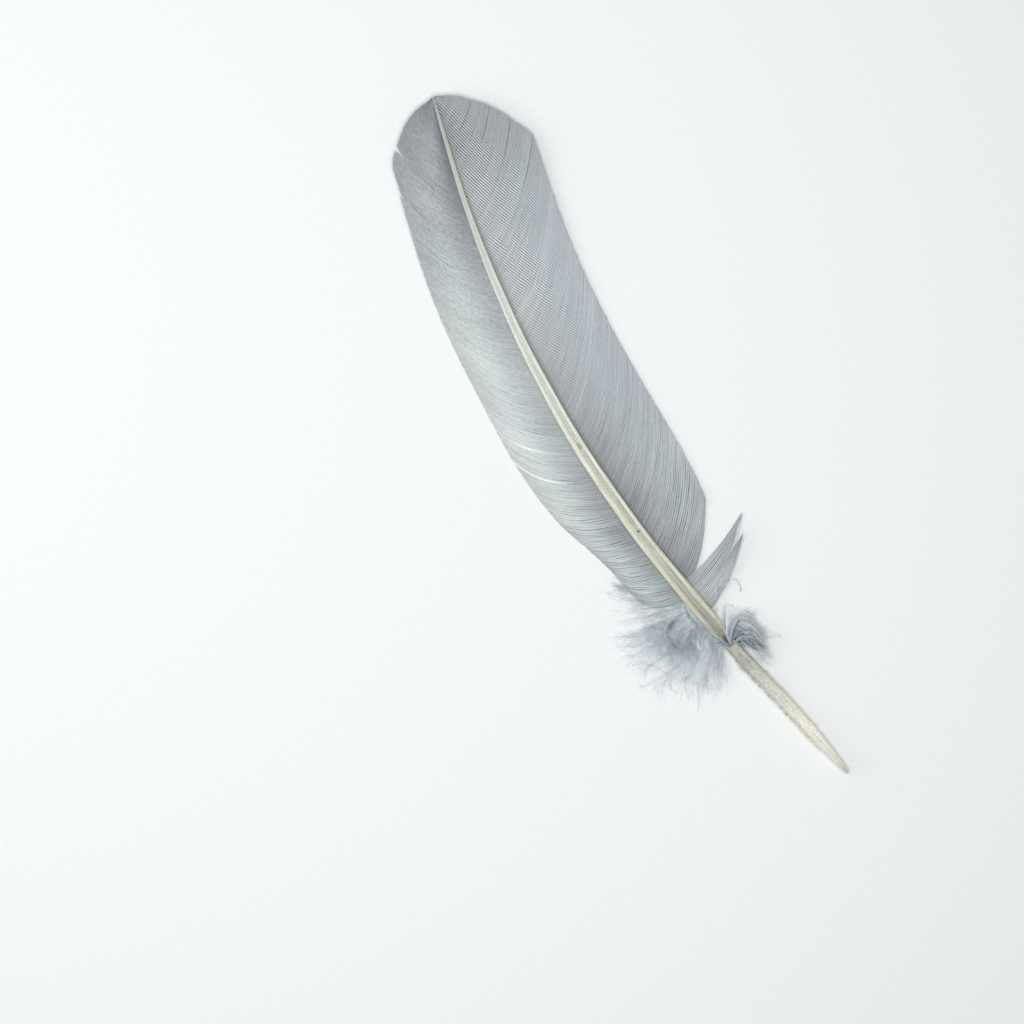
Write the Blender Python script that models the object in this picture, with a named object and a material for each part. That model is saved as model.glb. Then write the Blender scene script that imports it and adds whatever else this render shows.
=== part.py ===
"""Turkey quill feather, lying on its back with its underside up.

Places on the feather are worked out in millimetres as (along, across, up): along from the foot of the
quill to the tip, across from the line between the two towards the wide vane, up from the table. In the
scene these are +Y, +X and +Z, in metres, with the origin on the table under the middle of the feather.
"""
import bisect
import math
from dataclasses import dataclass

import bmesh
import bpy
from mathutils import Vector

MM = 0.001

# Overall size
LENGTH = 290.0                 # foot of the quill to tip of the vane
GAP = 0.35                     # free space between neighbouring pieces
WIDE_CORNER = (259.6, 23.9)    # sharp corner of the wide vane: along, across
DOWN_REACH = -51.5             # furthest down tip on the narrow vane's side
CENTRE_ALONG = LENGTH / 2
CENTRE_ACROSS = (WIDE_CORNER[1] + DOWN_REACH) / 2

# The feather curves like a shallow boat: it rests from REST_START to REST_END, and both ends rise
REST_START = 125.0
REST_END = 175.0
FOOT_LIFT = 3.5
TIP_LIFT = 7.0

# Shaft: pairs of along and value
SHAFT_LINE = [(0, -0.5), (30, -5.7), (60, -12.0), (90, -16.7), (120, -20.3), (155, -21.8),
              (190, -20.2), (220, -16.5), (250, -10.7), (275, -4.6), (290, -0.4)]
SHAFT_WIDTH = [(0, 1.6), (5, 2.8), (20, 4.5), (50, 5.3), (62, 5.0), (78, 6.3), (100, 5.6),
               (150, 4.6), (200, 3.3), (250, 1.8), (290, 0.7)]
SHAFT_HEIGHT = [(0, 1.4), (5, 2.6), (20, 4.3), (50, 5.0), (62, 4.8), (78, 5.5), (100, 5.1),
                (150, 4.3), (200, 3.2), (250, 1.9), (290, 0.7)]
SHAFT_RING_COUNT = 36
# The groove starts as a pit where the down comes out, and fades towards the tip
PIT_START = 61.5
GROOVE_DEPTH = [(PIT_START, 0.0), (63.5, 1.7), (68, 1.2), (80, 0.9), (100, 0.7), (140, 0.4),
                (200, 0.2), (280, 0.0)]
EXTRA_RINGS = [2.0, 5.0, 12.0, 60.0, PIT_START, 63.5, 66.0, 69.0, REST_START, REST_END, 288.5]
# Half of a ring, from the flat under the keel to the ridge beside the groove, as shares of its half
# width and of its height
RING_HALF = [(0.28, 0.0), (0.72, 0.11), (0.95, 0.36), (0.98, 0.62), (0.84, 0.87), (0.46, 1.0)]
CROWN = 1.03                   # height share of the middle of an ungrooved ring
FOOT_ROUNDING = 0.45           # size of the first ring, so that the quill's foot is rounded

# Vanes
ATTACH = 0.24                  # height share of the shaft where a vane's underside meets it
VANE_THICKNESS = [(75, 0.85), (200, 0.75), (290, 0.42)]
RIDGE_SHARE = 0.34             # how far every second barb stands out, as a share of the thickness
ROW_PITCH = 2.2                # spacing of barb rows along the shaft
TOUCH = 0.62                   # share of the way out where a vane comes down to the table
EDGE_RISE = 0.9                # rise of the edge beyond that
BASE_LIFT = 1.7                # extra rise of the vanes' loose lower ends
BASE_LIFT_LENGTH = 40.0
COLUMNS = [0.0, 0.1, 0.25, 0.43, TOUCH, 0.8, 0.93, 1.0]

# Down: locks grow from strips beside the shaft
LOCK_HEIGHT = 0.95
LOCK_POINT = 0.16              # size of a lock's end as a share of its start
STRIP_WIDTH = 1.2
FAN_FROM, FAN_TO = 61.0, 82.3
FAN_LOCKS = 15                 # in each layer
FAN_BOTTOM = 1.0
FAN_LAYER_HEIGHT = 1.6
FAN_STEPS = 5
FAN_LOCK_WIDTH = 1.35
FAN_STANDOFF = 6.0             # how far the locks run straight out before they bend to their tips
CURL_FROM, CURL_TO = 61.0, 70.5
CURL_LOCKS = 5                 # in each layer
CURL_LAYERS = 3
CURL_BOTTOM = 0.9
CURL_LAYER_HEIGHT = 1.3
CURL_STEPS = 6
CURL_LOCK_WIDTH = 1.3
CURL_CENTRE = (55.5, -7.6)
CURL_FLATNESS = 0.66           # across radius of the curl as a share of its radius along
CURL_SHRINK = 0.4              # how much a curl tightens by its end
CURL_TURN = (10, 160)          # where a lock leaves its strip and where it ends, in degrees
CURL_RISE = 2.4                # rise of the low layer's curl
CURL_RISE_STEP = 1.7           # further rise of each layer above it

# Colours as they look on a screen, and roughness
FINISHES = {
    "shaft": ("#cfcbb8", 0.45),
    "wide_vane": ("#9a9ea8", 0.75),
    "narrow_vane": ("#a9b2b8", 0.75),
    "down": ("#a3a9b6", 0.9),
}


@dataclass(frozen=True)
class Vane:
    """A sheet of barbs on one side of the shaft.

    A barb is (along at its root, along and across at its tip). A stretch is a run of barbs with a
    smooth edge, and stretches meet at one root: there the vane is open from a share of the way out,
    where the tips differ, or has a corner.
    """
    name: str
    finish: str
    side: int                  # 1 towards the wide vane, -1 away from it
    bow: tuple                 # shares of the way along and across of a barb's bending point
    stretches: list
    open_from: list
    lift: float = 0.0          # rise of the tips


WIDE_VANE = Vane(
    "inner_vane", "wide_vane", 1, (0.30, 0.55),
    [[(92, 113.8, 8.1), (98, 123.0, 9.4), (106, 137.0, 10.1), (130, 163.0, 10.6),
      (148, 183.0, 11.4), (175, 210.0, 13.9), (200, 235.0, 18.4), (228, *WIDE_CORNER)],
     [(228, *WIDE_CORNER), (243, 269.0, 20.0), (258, 277.0, 15.6), (271.5, 282.2, 11.0),
      (280, 286.0, 7.2), (287.5, 289.3, 1.2)]],
    [1.0])

NARROW_VANE = Vane(
    "outer_vane", "narrow_vane", -1, (0.35, 0.75),
    [[(84.3, 92.2, -32.4), (90, 99.4, -34.2), (98, 107.5, -35.6), (113, 121.2, -39.3)],
     [(113, 122.4, -39.9), (122, 135.0, -43.3), (131, 150.0, -45.0), (140.5, 163.0, -45.4)],
     [(140.5, 164.2, -45.4), (152.5, 177.2, -44.7)],
     [(152.5, 178.2, -44.6), (178, 208.0, -42.1), (200, 231.0, -38.6), (235, 266.0, -29.7)],
     [(235, 266.9, -29.0), (243, 276.8, -26.4), (250, 281.3, -22.4)],
     [(250, 281.9, -21.3), (257, 284.5, -18.1), (265, 287.6, -13.3), (275, 289.5, -7.1),
      (287.5, 289.7, -2.0)]],
    [0.8, 0.25, 0.43, 0.93, 0.8])

LOWER_LOBE = Vane(
    "lower_lobe", "wide_vane", 1, (0.24, 0.5),
    [[(77, 95.0, 12.9), (80.5, 94.7, 12.5), (84, 94.3, 11.9)],
     [(84, 100.4, 15.7), (87.5, 101.1, 16.3), (91, 101.7, 16.6)]],
    [TOUCH], lift=3.6)


@dataclass(frozen=True)
class FanLayer:
    """Where a layer of the fan of down ends: its tips lie on an arc, in plan."""
    centre: tuple
    radii: tuple
    angles: tuple              # of the first and the last tip, in degrees
    tip_up: float
    bend_up: float             # height where the locks bend
    spread: float              # how much a lock widens on its way out


FAN_LAYERS = [
    FanLayer((74.0, -22.5), (31.0, -22.5 - DOWN_REACH), (172, 50), 0.9, 1.2, 2.0),
    FanLayer((70.0, -17.5), (13.5, 14.5), (158, 70), 4.6, 5.8, 0.0),
]


def linear(channel):
    """Linear value of one sRGB channel between 0 and 1."""
    if channel <= 0.04045:
        return channel / 12.92
    return ((channel + 0.055) / 1.055) ** 2.4


def make_material(name):
    """Principled material from a colour and a roughness."""
    hex_colour, roughness = FINISHES[name]
    channels = [int(hex_colour[i:i + 2], 16) / 255 for i in (1, 3, 5)]
    material = bpy.data.materials.new(name)
    material.use_nodes = True
    shader = material.node_tree.nodes["Principled BSDF"]
    shader.inputs["Base Color"].default_value = (*[linear(c) for c in channels], 1.0)
    shader.inputs["Roughness"].default_value = roughness
    shader.inputs["Metallic"].default_value = 0.0
    return material


def smooth(points, x):
    """Value at x of a curve through (x, value) pairs that never overshoots them."""
    xs = [p[0] for p in points]
    ys = [p[1] for p in points]
    if x <= xs[0]:
        return ys[0]
    if x >= xs[-1]:
        return ys[-1]
    steps = [(ys[i + 1] - ys[i]) / (xs[i + 1] - xs[i]) for i in range(len(xs) - 1)]
    slopes = [steps[0]]
    for before, after in zip(steps, steps[1:]):
        slopes.append(0.0 if before * after <= 0 else 2 * before * after / (before + after))
    slopes.append(steps[-1])
    i = bisect.bisect_right(xs, x) - 1
    span = xs[i + 1] - xs[i]
    u = (x - xs[i]) / span
    start = (1 + 2 * u) * (1 - u) ** 2 * ys[i] + u * (1 - u) ** 2 * span * slopes[i]
    end = u * u * (3 - 2 * u) * ys[i + 1] + u * u * (u - 1) * span * slopes[i + 1]
    return start + end


def bent_line(start, middle, end, share):
    """Point on a line that leaves start towards middle and arrives at end from it."""
    return start * (1 - share) ** 2 + middle * 2 * share * (1 - share) + end * share ** 2


def keel(along):
    """Height of the feather's back above the table."""
    if along < REST_START:
        return FOOT_LIFT * ((REST_START - along) / REST_START) ** 2
    if along > REST_END:
        return TIP_LIFT * ((along - REST_END) / (LENGTH - REST_END)) ** 2
    return 0.0


def place(along, across, up):
    """Scene position in metres of a place on the feather in millimetres."""
    return Vector((across - CENTRE_ACROSS, along - CENTRE_ALONG, up)) * MM


def add_object(name, bm, material, sharp_angle=35.0):
    """Turns a bmesh into a named object, with outward faces and smooth shading."""
    bmesh.ops.recalc_face_normals(bm, faces=bm.faces[:])
    mesh = bpy.data.meshes.new(name)
    bm.to_mesh(mesh)
    bm.free()
    mesh.materials.append(material)
    mesh.shade_smooth()
    mesh.set_sharp_from_angle(angle=math.radians(sharp_angle))
    obj = bpy.data.objects.new(name, mesh)
    bpy.context.scene.collection.objects.link(obj)


def shaft_ring(along):
    """Section of the shaft as (across, up) points, round from the flat under the keel."""
    middle = smooth(SHAFT_LINE, along)
    half = smooth(SHAFT_WIDTH, along) / 2
    height = smooth(SHAFT_HEIGHT, along)
    base = keel(along)
    if along <= 0.0:
        base += height * (1 - FOOT_ROUNDING) / 2
        half *= FOOT_ROUNDING
        height *= FOOT_ROUNDING
    right = [(middle + x * half, base + z * height) for x, z in RING_HALF]
    left = [(middle - x * half, base + z * height) for x, z in reversed(RING_HALF)]
    crown = (middle, base + CROWN * height - smooth(GROOVE_DEPTH, along))
    return right + [crown] + left


def build_shaft(material):
    """Quill and rachis as one solid, lofted through rings."""
    stations = {round(LENGTH * i / SHAFT_RING_COUNT, 2) for i in range(SHAFT_RING_COUNT + 1)}
    bm = bmesh.new()
    rings = []
    for along in sorted(stations | set(EXTRA_RINGS)):
        rings.append([bm.verts.new(place(along, x, z)) for x, z in shaft_ring(along)])
    for ring, following in zip(rings, rings[1:]):
        for i in range(len(ring)):
            j = (i + 1) % len(ring)
            bm.faces.new((ring[i], ring[j], following[j], following[i]))
    bm.faces.new(rings[0])
    bm.faces.new(rings[-1])
    add_object("shaft", bm, material)


def shaft_edge(along, side):
    """Across value just clear of the shaft on one side of it."""
    return smooth(SHAFT_LINE, along) + side * (smooth(SHAFT_WIDTH, along) / 2 + GAP)


def vane_underside(along, share, root, lift):
    """Height of a vane's underside: down from the shaft to the table, then up to the free edge."""
    attach = ATTACH * smooth(SHAFT_HEIGHT, root)
    height = keel(along) + attach * max(0.0, 1 - share / TOUCH) ** 2
    height += EDGE_RISE * max(0.0, (share - TOUCH) / (1 - TOUCH)) ** 2
    loose = min(1.0, max(0.0, (REST_START - along) / BASE_LIFT_LENGTH))
    return height + BASE_LIFT * loose ** 2 * share + lift * share ** 2


def plate_point(vane, root, tip, share, hollow):
    """Under and over points of a vane on one barb; a hollow barb is thinner on both faces."""
    start = Vector((root, shaft_edge(root, vane.side)))
    end = Vector(tip)
    middle = Vector((start.x + vane.bow[0] * (end.x - start.x),
                     start.y + vane.bow[1] * (end.y - start.y)))
    along, across = bent_line(start, middle, end, share)
    ridge = RIDGE_SHARE * smooth(VANE_THICKNESS, root)
    under = vane_underside(along, share, root, vane.lift)
    over = under + smooth(VANE_THICKNESS, root) + ridge
    if hollow:
        under += ridge
        over -= ridge
    return place(along, across, under), place(along, across, over)


def barbs_between(stretch):
    """Evenly spaced barbs through the given ones, as (root, tip) pairs."""
    first, last = stretch[0][0], stretch[-1][0]
    count = max(2, round((last - first) / ROW_PITCH))
    tips_along = [(barb[0], barb[1]) for barb in stretch]
    tips_across = [(barb[0], barb[2]) for barb in stretch]
    roots = [first + (last - first) * i / count for i in range(count + 1)]
    return [(root, (smooth(tips_along, root), smooth(tips_across, root))) for root in roots]


def vane_rows(vane):
    """Rows as [root, tip towards the row before, tip towards the next row, share where they part]."""
    rows = []
    for number, stretch in enumerate(vane.stretches):
        barbs = barbs_between(stretch)
        if number > 0:
            rows[-1][2] = barbs.pop(0)[1]
            rows[-1][3] = vane.open_from[number - 1]
        rows += [[root, tip, tip, 1.0] for root, tip in barbs]
    return rows


def add_plate(bm, points, cells):
    """Closed plate from {key: (under, over)} points and cells of keys, walled round its rim."""
    under = {key: bm.verts.new(pair[0]) for key, pair in points.items()}
    over = {key: bm.verts.new(pair[1]) for key, pair in points.items()}
    sides = {}
    for cell in cells:
        bm.faces.new([over[key] for key in cell])
        bm.faces.new([under[key] for key in reversed(cell)])
        sides.update(dict.fromkeys(zip(cell, cell[1:] + cell[:1])))
    for a, b in sides:
        if (b, a) not in sides:
            bm.faces.new((under[a], under[b], over[b], over[a]))


def build_vane(vane, material):
    """A vane as one ridged plate whose rows follow its barbs."""
    rows = vane_rows(vane)
    points = {}
    for r, (root, tip_before, tip_after, parted) in enumerate(rows):
        for c, share in enumerate(COLUMNS):
            points[r, c, "before"] = plate_point(vane, root, tip_before, share, r % 2)
            if share > parted:
                points[r, c, "after"] = plate_point(vane, root, tip_after, share, r % 2)
    cells = []
    for r in range(len(rows) - 1):
        for c in range(len(COLUMNS) - 1):
            near = [(r, k, "after" if (r, k, "after") in points else "before") for k in (c, c + 1)]
            cells.append([near[0], near[1], (r + 1, c + 1, "before"), (r + 1, c, "before")])
    bm = bmesh.new()
    add_plate(bm, points, cells)
    add_object(vane.name, bm, material)


def grow_lock(bm, face, path, width, spread=0.0):
    """Extrudes a lock out of one face along a path: it may spread, then it draws out to a point."""
    for step, centre in enumerate(path):
        share = (step + 1) / len(path)
        heading = path[min(step + 1, len(path) - 1)] - path[max(step - 1, 0)]
        sideways = heading.cross(Vector((0, 0, 1))).normalized()
        taper = LOCK_POINT * share + (1 - share) ** 0.6
        half_width = width / 2 * taper * (1 + spread * share * (1 - share) * 2)
        half_height = LOCK_HEIGHT * MM / 2 * taper
        face = bmesh.ops.extrude_discrete_faces(bm, faces=[face])["faces"][0]
        middle = face.calc_center_median()
        for vert in face.verts:
            out = math.copysign(half_width, (vert.co - middle).dot(sideways))
            up = math.copysign(half_height, vert.co.z - middle.z)
            vert.co = centre + sideways * out + Vector((0, 0, up))


def add_strip(bm, stations, side, levels):
    """A bar beside the shaft, cut into cells; returns its outer faces by (cell, level)."""
    grid = {}
    for i, along in enumerate(stations):
        for k, up in enumerate(levels):
            for depth in (0, 1):
                across = shaft_edge(along, side) + side * STRIP_WIDTH * depth
                grid[i, k, depth] = bm.verts.new(place(along, across, keel(along) + up))
    outer = {}
    for i in range(len(stations) - 1):
        for k in range(len(levels) - 1):
            for depth in (0, 1):
                outer[i, k] = bm.faces.new([grid[i, k, depth], grid[i + 1, k, depth],
                                            grid[i + 1, k + 1, depth], grid[i, k + 1, depth]])
        for k in (0, len(levels) - 1):
            bm.faces.new([grid[i, k, 0], grid[i + 1, k, 0], grid[i + 1, k, 1], grid[i, k, 1]])
    for i in (0, len(stations) - 1):
        for k in range(len(levels) - 1):
            bm.faces.new([grid[i, k, 0], grid[i, k + 1, 0], grid[i, k + 1, 1], grid[i, k, 1]])
    bmesh.ops.recalc_face_normals(bm, faces=bm.faces[:])
    return outer


def evenly(start, end, count):
    """The ends of count equal cells between start and end."""
    return [start + (end - start) * i / count for i in range(count + 1)]


def build_down_tuft(material):
    """Fan of locks in two layers on the narrow vane's side."""
    bm = bmesh.new()
    stations = evenly(FAN_FROM, FAN_TO, FAN_LOCKS)
    levels = [FAN_BOTTOM + FAN_LAYER_HEIGHT * k for k in range(len(FAN_LAYERS) + 1)]
    for (i, k), face in add_strip(bm, stations, -1, levels).items():
        layer = FAN_LAYERS[k]
        share = (i + 0.5) / FAN_LOCKS
        root = (stations[i] + stations[i + 1]) / 2
        edge = shaft_edge(root, -1) - STRIP_WIDTH
        angle = math.radians(layer.angles[0] + (layer.angles[1] - layer.angles[0]) * share)
        start = place(root, edge, keel(root) + (levels[k] + levels[k + 1]) / 2)
        middle = place(root + FAN_STANDOFF * (share - 0.5), edge - FAN_STANDOFF, layer.bend_up)
        end = place(layer.centre[0] + layer.radii[0] * math.cos(angle),
                    layer.centre[1] - layer.radii[1] * math.sin(angle), layer.tip_up)
        path = [bent_line(start, middle, end, u) for u in evenly(0, 1, FAN_STEPS)[1:]]
        grow_lock(bm, face, path, FAN_LOCK_WIDTH * MM, layer.spread)
    add_object("down_tuft", bm, material)


def build_down_curl(material):
    """Nested locks that curl back towards the quill's foot, on the wide vane's side."""
    bm = bmesh.new()
    stations = evenly(CURL_FROM, CURL_TO, CURL_LOCKS)
    levels = [CURL_BOTTOM + CURL_LAYER_HEIGHT * k for k in range(CURL_LAYERS + 1)]
    for (i, k), face in add_strip(bm, stations, 1, levels).items():
        root = (stations[i] + stations[i + 1]) / 2
        start_up = keel(root) + (levels[k] + levels[k + 1]) / 2
        path = []
        for turn in evenly(0, 1, CURL_STEPS)[1:]:
            angle = math.radians(CURL_TURN[0] + (CURL_TURN[1] - CURL_TURN[0]) * turn)
            radius = (root - CURL_CENTRE[0]) * (1 - CURL_SHRINK * turn)
            rise = (CURL_RISE + CURL_RISE_STEP * k) * math.sin(0.75 * math.pi * turn)
            path.append(place(CURL_CENTRE[0] + radius * math.cos(angle),
                              CURL_CENTRE[1] + CURL_FLATNESS * radius * math.sin(angle),
                              start_up + rise))
        grow_lock(bm, face, path, CURL_LOCK_WIDTH * MM)
    add_object("down_curl", bm, material)


def main():
    for obj in list(bpy.data.objects):
        bpy.data.objects.remove(obj, do_unlink=True)
    materials = {name: make_material(name) for name in FINISHES}
    build_shaft(materials["shaft"])
    for vane in (WIDE_VANE, NARROW_VANE, LOWER_LOBE):
        build_vane(vane, materials[vane.finish])
    build_down_tuft(materials["down"])
    build_down_curl(materials["down"])


main()
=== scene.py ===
"""Looks of a grey-dyed turkey quill feather that lies on its back, underside up.

Places on the feather are worked out in millimetres as (along, across, up): along from the foot of the
quill to the tip, across from the line between the two towards the wide vane, up from the table. In the
scene these are +Y, +X and +Z, in metres.
"""
import logging
import math
from dataclasses import dataclass
from enum import Enum

import bpy
import numpy as np
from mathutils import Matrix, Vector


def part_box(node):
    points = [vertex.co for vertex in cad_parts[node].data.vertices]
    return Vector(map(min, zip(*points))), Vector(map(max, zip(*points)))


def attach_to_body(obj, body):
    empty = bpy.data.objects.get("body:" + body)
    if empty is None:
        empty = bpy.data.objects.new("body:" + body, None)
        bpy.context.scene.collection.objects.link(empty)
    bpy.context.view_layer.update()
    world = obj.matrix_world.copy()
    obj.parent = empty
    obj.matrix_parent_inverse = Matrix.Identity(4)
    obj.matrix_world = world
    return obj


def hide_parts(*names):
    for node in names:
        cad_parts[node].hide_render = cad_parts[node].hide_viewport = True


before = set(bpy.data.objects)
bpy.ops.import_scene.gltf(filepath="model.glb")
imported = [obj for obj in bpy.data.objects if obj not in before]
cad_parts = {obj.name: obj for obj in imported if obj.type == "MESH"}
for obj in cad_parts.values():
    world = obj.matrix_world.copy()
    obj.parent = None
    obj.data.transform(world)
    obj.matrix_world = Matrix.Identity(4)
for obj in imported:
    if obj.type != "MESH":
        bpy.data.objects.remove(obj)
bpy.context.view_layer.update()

log = logging.getLogger("feather")

MM = 0.001
LENGTH = 290.0                     # from the quill's foot to the tip, in millimetres
FIBRE_IOR = 1.54                   # of keratin, and of the fibres in the card

# Settings that many nodes share. Of the inputs that are given by number, a Math or VectorMath node's values
# are 0, 1 and 2, and a Mix node's share, first and second colour are 0, 6 and 7.
MULTIPLY = {"operation": "MULTIPLY"}
MULTIPLY_ADD = {"operation": "MULTIPLY_ADD"}
COLOURS = {"data_type": "RGBA"}                    # a Mix node that mixes colours
SMOOTH = {"interpolation_type": "SMOOTHSTEP"}      # a MapRange node that eases in and out
UNLIMITED = {"clamp": False}                       # one that goes on beyond its ends

UP = np.array([0.0, 0.0, 1.0])     # in (along, across, up)


class Side(Enum):
    """The side of the shaft that a piece grows on."""

    WIDE = 1
    NARROW = -1


class Slot(Enum):
    """The record's material slots."""

    SHAFT = "shaft"
    WIDE_VANE = "wide_vane"
    NARROW_VANE = "narrow_vane"
    DOWN = "down"


@dataclass(frozen=True)
class Law:
    """A value that changes smoothly through (place, value) points and never overshoots them."""

    points: tuple[tuple[float, float], ...]

    def at(self, place: np.ndarray | float) -> np.ndarray:
        """Value at a place; beyond the ends it stays the same.

        Args:
            place: Where to read the law.

        Returns:
            The values, in the shape of place.
        """
        xs, ys = np.array(self.points, float).T
        steps = np.diff(ys) / np.diff(xs)
        turns = steps[:-1] * steps[1:] <= 0
        sums = np.where(turns, 1.0, steps[:-1] + steps[1:])
        inner = np.where(turns, 0.0, 2 * steps[:-1] * steps[1:] / sums)
        slopes = np.concatenate([steps[:1], inner, steps[-1:]])
        x = np.clip(np.asarray(place, float), xs[0], xs[-1])
        i = np.clip(np.searchsorted(xs, x, side="right") - 1, 0, len(xs) - 2)
        span = xs[i + 1] - xs[i]
        u = (x - xs[i]) / span
        start = (1 + 2 * u) * (1 - u) ** 2 * ys[i] + u * (1 - u) ** 2 * span * slopes[i]
        end = u * u * (3 - 2 * u) * ys[i + 1] + u * u * (u - 1) * span * slopes[i + 1]
        return start + end


def ease(share: np.ndarray) -> np.ndarray:
    """Smooth step from 0 at 0 to 1 at 1."""
    u = np.clip(share, 0.0, 1.0)
    return u * u * (3 - 2 * u)


def bent_line(start: np.ndarray, end: np.ndarray, pulls: tuple[float, float],
              share: np.ndarray) -> np.ndarray:
    """Value on a curved way from start to end.

    Args:
        start: Value at share 0.
        end: Value at share 1.
        pulls: Shares of the way where the two handles of the curve lie.
        share: How far along the way.

    Returns:
        The values.
    """
    way = 3 * pulls[0] * share * (1 - share) ** 2 + 3 * pulls[1] * share ** 2 * (1 - share) + share ** 3
    return start + (end - start) * way


def drift(rng: np.random.Generator, count: int, reach: int) -> np.ndarray:
    """Random values that change slowly from one to the next.

    Args:
        rng: Source of the random numbers.
        count: How many values.
        reach: Over how many values they stay alike.

    Returns:
        The values, with a spread of 1.
    """
    kernel = np.hanning(2 * reach + 3)
    noise = rng.normal(size=count + len(kernel) - 1)
    return np.convolve(noise, kernel / np.sqrt((kernel ** 2).sum()), mode="valid")


def unit(vectors: np.ndarray) -> np.ndarray:
    """Vectors along the last axis, each made 1 long."""
    return vectors / np.maximum(np.linalg.norm(vectors, axis=-1, keepdims=True), 1e-9)


@dataclass(frozen=True)
class Lay:
    """How the feather lies: the line, size and height of its shaft, which every other piece follows."""

    foot_y: float              # scene place of the quill's foot, metres
    middle_x: float            # scene place of the line from foot to tip, metres
    length: float = LENGTH
    line: Law = Law(((0, -0.5), (30, -5.7), (60, -12.0), (90, -16.7), (120, -20.3), (155, -21.8),
                     (190, -20.2), (220, -16.5), (250, -10.85), (275, -4.5), (290, -0.4)))
    width: Law = Law(((0, 1.6), (5, 2.8), (20, 4.5), (50, 5.3), (62, 5.0), (78, 6.3), (100, 5.7),
                      (150, 4.9), (200, 3.7), (230, 2.8), (250, 2.1), (275, 1.5), (290, 0.8)))
    height: Law = Law(((0, 1.4), (5, 2.6), (20, 4.3), (50, 5.0), (62, 4.8), (78, 5.5), (100, 5.1),
                       (150, 4.3), (200, 3.2), (250, 1.9), (290, 0.7)))
    rest_start: float = 125.0  # the keel touches the table from here
    rest_end: float = 175.0    # to here
    foot_lift: float = 3.5
    tip_lift: float = 7.0

    def keel(self, along: np.ndarray) -> np.ndarray:
        """Height of the feather's back above the table.

        Args:
            along: Where to take it.

        Returns:
            The heights.
        """
        before = np.clip((self.rest_start - along) / self.rest_start, 0, None)
        after = np.clip((along - self.rest_end) / (self.length - self.rest_end), 0, None)
        return self.foot_lift * before ** 2 + self.tip_lift * after ** 2

    def edge(self, along: np.ndarray, side: Side, inset: float = 0.0) -> np.ndarray:
        """Across value of the shaft's edge, moved into the shaft by inset."""
        return self.line.at(along) + side.value * (self.width.at(along) / 2 - inset)

    def place(self, along: np.ndarray, across: np.ndarray, up: np.ndarray) -> np.ndarray:
        """Scene positions in metres of places on the feather in millimetres.

        Args:
            along: From the quill's foot to the tip.
            across: From the line between the two towards the wide vane.
            up: Above the table.

        Returns:
            Positions, with x, y and z as the last axis.
        """
        along, across, up = np.broadcast_arrays(along, across, up)
        return np.stack([across * MM + self.middle_x, along * MM + self.foot_y, up * MM], axis=-1)


def linear(hex_colour: str) -> tuple[float, float, float, float]:
    """Turns an sRGB hex colour to linear.

    Args:
        hex_colour: Such as "#c8ccc4".

    Returns:
        Its linear red, green and blue, and 1 for alpha.
    """
    channels = [int(hex_colour[i:i + 2], 16) / 255 for i in (1, 3, 5)]
    red, green, blue = [c / 12.92 if c <= 0.04045 else ((c + 0.055) / 1.055) ** 2.4 for c in channels]
    return red, green, blue, 1.0


def add_node(tree: bpy.types.NodeTree, kind: str, settings: dict | None = None,
             inputs: dict | None = None, stops: tuple = ()) -> bpy.types.Node:
    """Adds a shader node with its settings and links.

    Args:
        tree: Node tree that gets the node.
        kind: The node's type without the word ShaderNode.
        settings: Values of the node's properties.
        inputs: Value, or output to link, of each input by its name or number.
        stops: Place and hex colour of each stop of a colour ramp.

    Returns:
        The new node.
    """
    node = tree.nodes.new("ShaderNode" + kind)
    for key, value in (settings or {}).items():
        setattr(node, key, value)
    for key, value in (inputs or {}).items():
        if isinstance(value, bpy.types.NodeSocket):
            tree.links.new(value, node.inputs[key])
        else:
            node.inputs[key].default_value = value
    for number, (place, colour) in enumerate(stops):
        ramp = node.color_ramp.elements
        stop = ramp[number] if number < 2 else ramp.new(place)
        stop.position = place
        stop.color = linear(colour)
    return node


def new_material(name: str, roughness: float, sheen: float = 0.0, glow: float = 0.0) -> bpy.types.Material:
    """Principled material with its constants set on the shader.

    Args:
        name: The material's name.
        roughness: Roughness all over.
        sheen: Weight of the sheen.
        glow: Share of the light that spreads inside it, over a millimetre or two.

    Returns:
        The material, whose colour and normal are still to be linked.
    """
    material = bpy.data.materials.new(name)
    material.use_nodes = True
    shader = material.node_tree.nodes["Principled BSDF"]
    shader.inputs["Roughness"].default_value = roughness
    shader.inputs["Sheen Weight"].default_value = sheen
    shader.inputs["Subsurface Weight"].default_value = glow
    shader.inputs["Subsurface Radius"].default_value = (1.0, 0.9, 0.7)
    shader.inputs["Subsurface Scale"].default_value = 2.0 * MM
    shader.inputs["IOR"].default_value = FIBRE_IOR
    return material


def dress(tree: bpy.types.NodeTree, colour: bpy.types.NodeSocket, shades: list,
          height: bpy.types.NodeSocket | None = None, depth: float = 0.0) -> None:
    """Links a shaded colour and a bump to a material's shader.

    Args:
        tree: The material's node tree.
        colour: Its colour before shading.
        shades: Factors near 1 that lighten or darken the colour.
        height: Height of the surface from 0 to 1.
        depth: Depth of that height in metres.
    """
    shader = tree.nodes["Principled BSDF"]
    for shade in shades:
        colour = add_node(tree, "VectorMath", {"operation": "SCALE"}, {0: colour, "Scale": shade}).outputs[0]
    tree.links.new(colour, shader.inputs["Base Color"])
    if height is not None:
        bump = add_node(tree, "Bump", None, {"Strength": 1.0, "Distance": depth, "Height": height})
        tree.links.new(bump.outputs[0], shader.inputs["Normal"])


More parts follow.
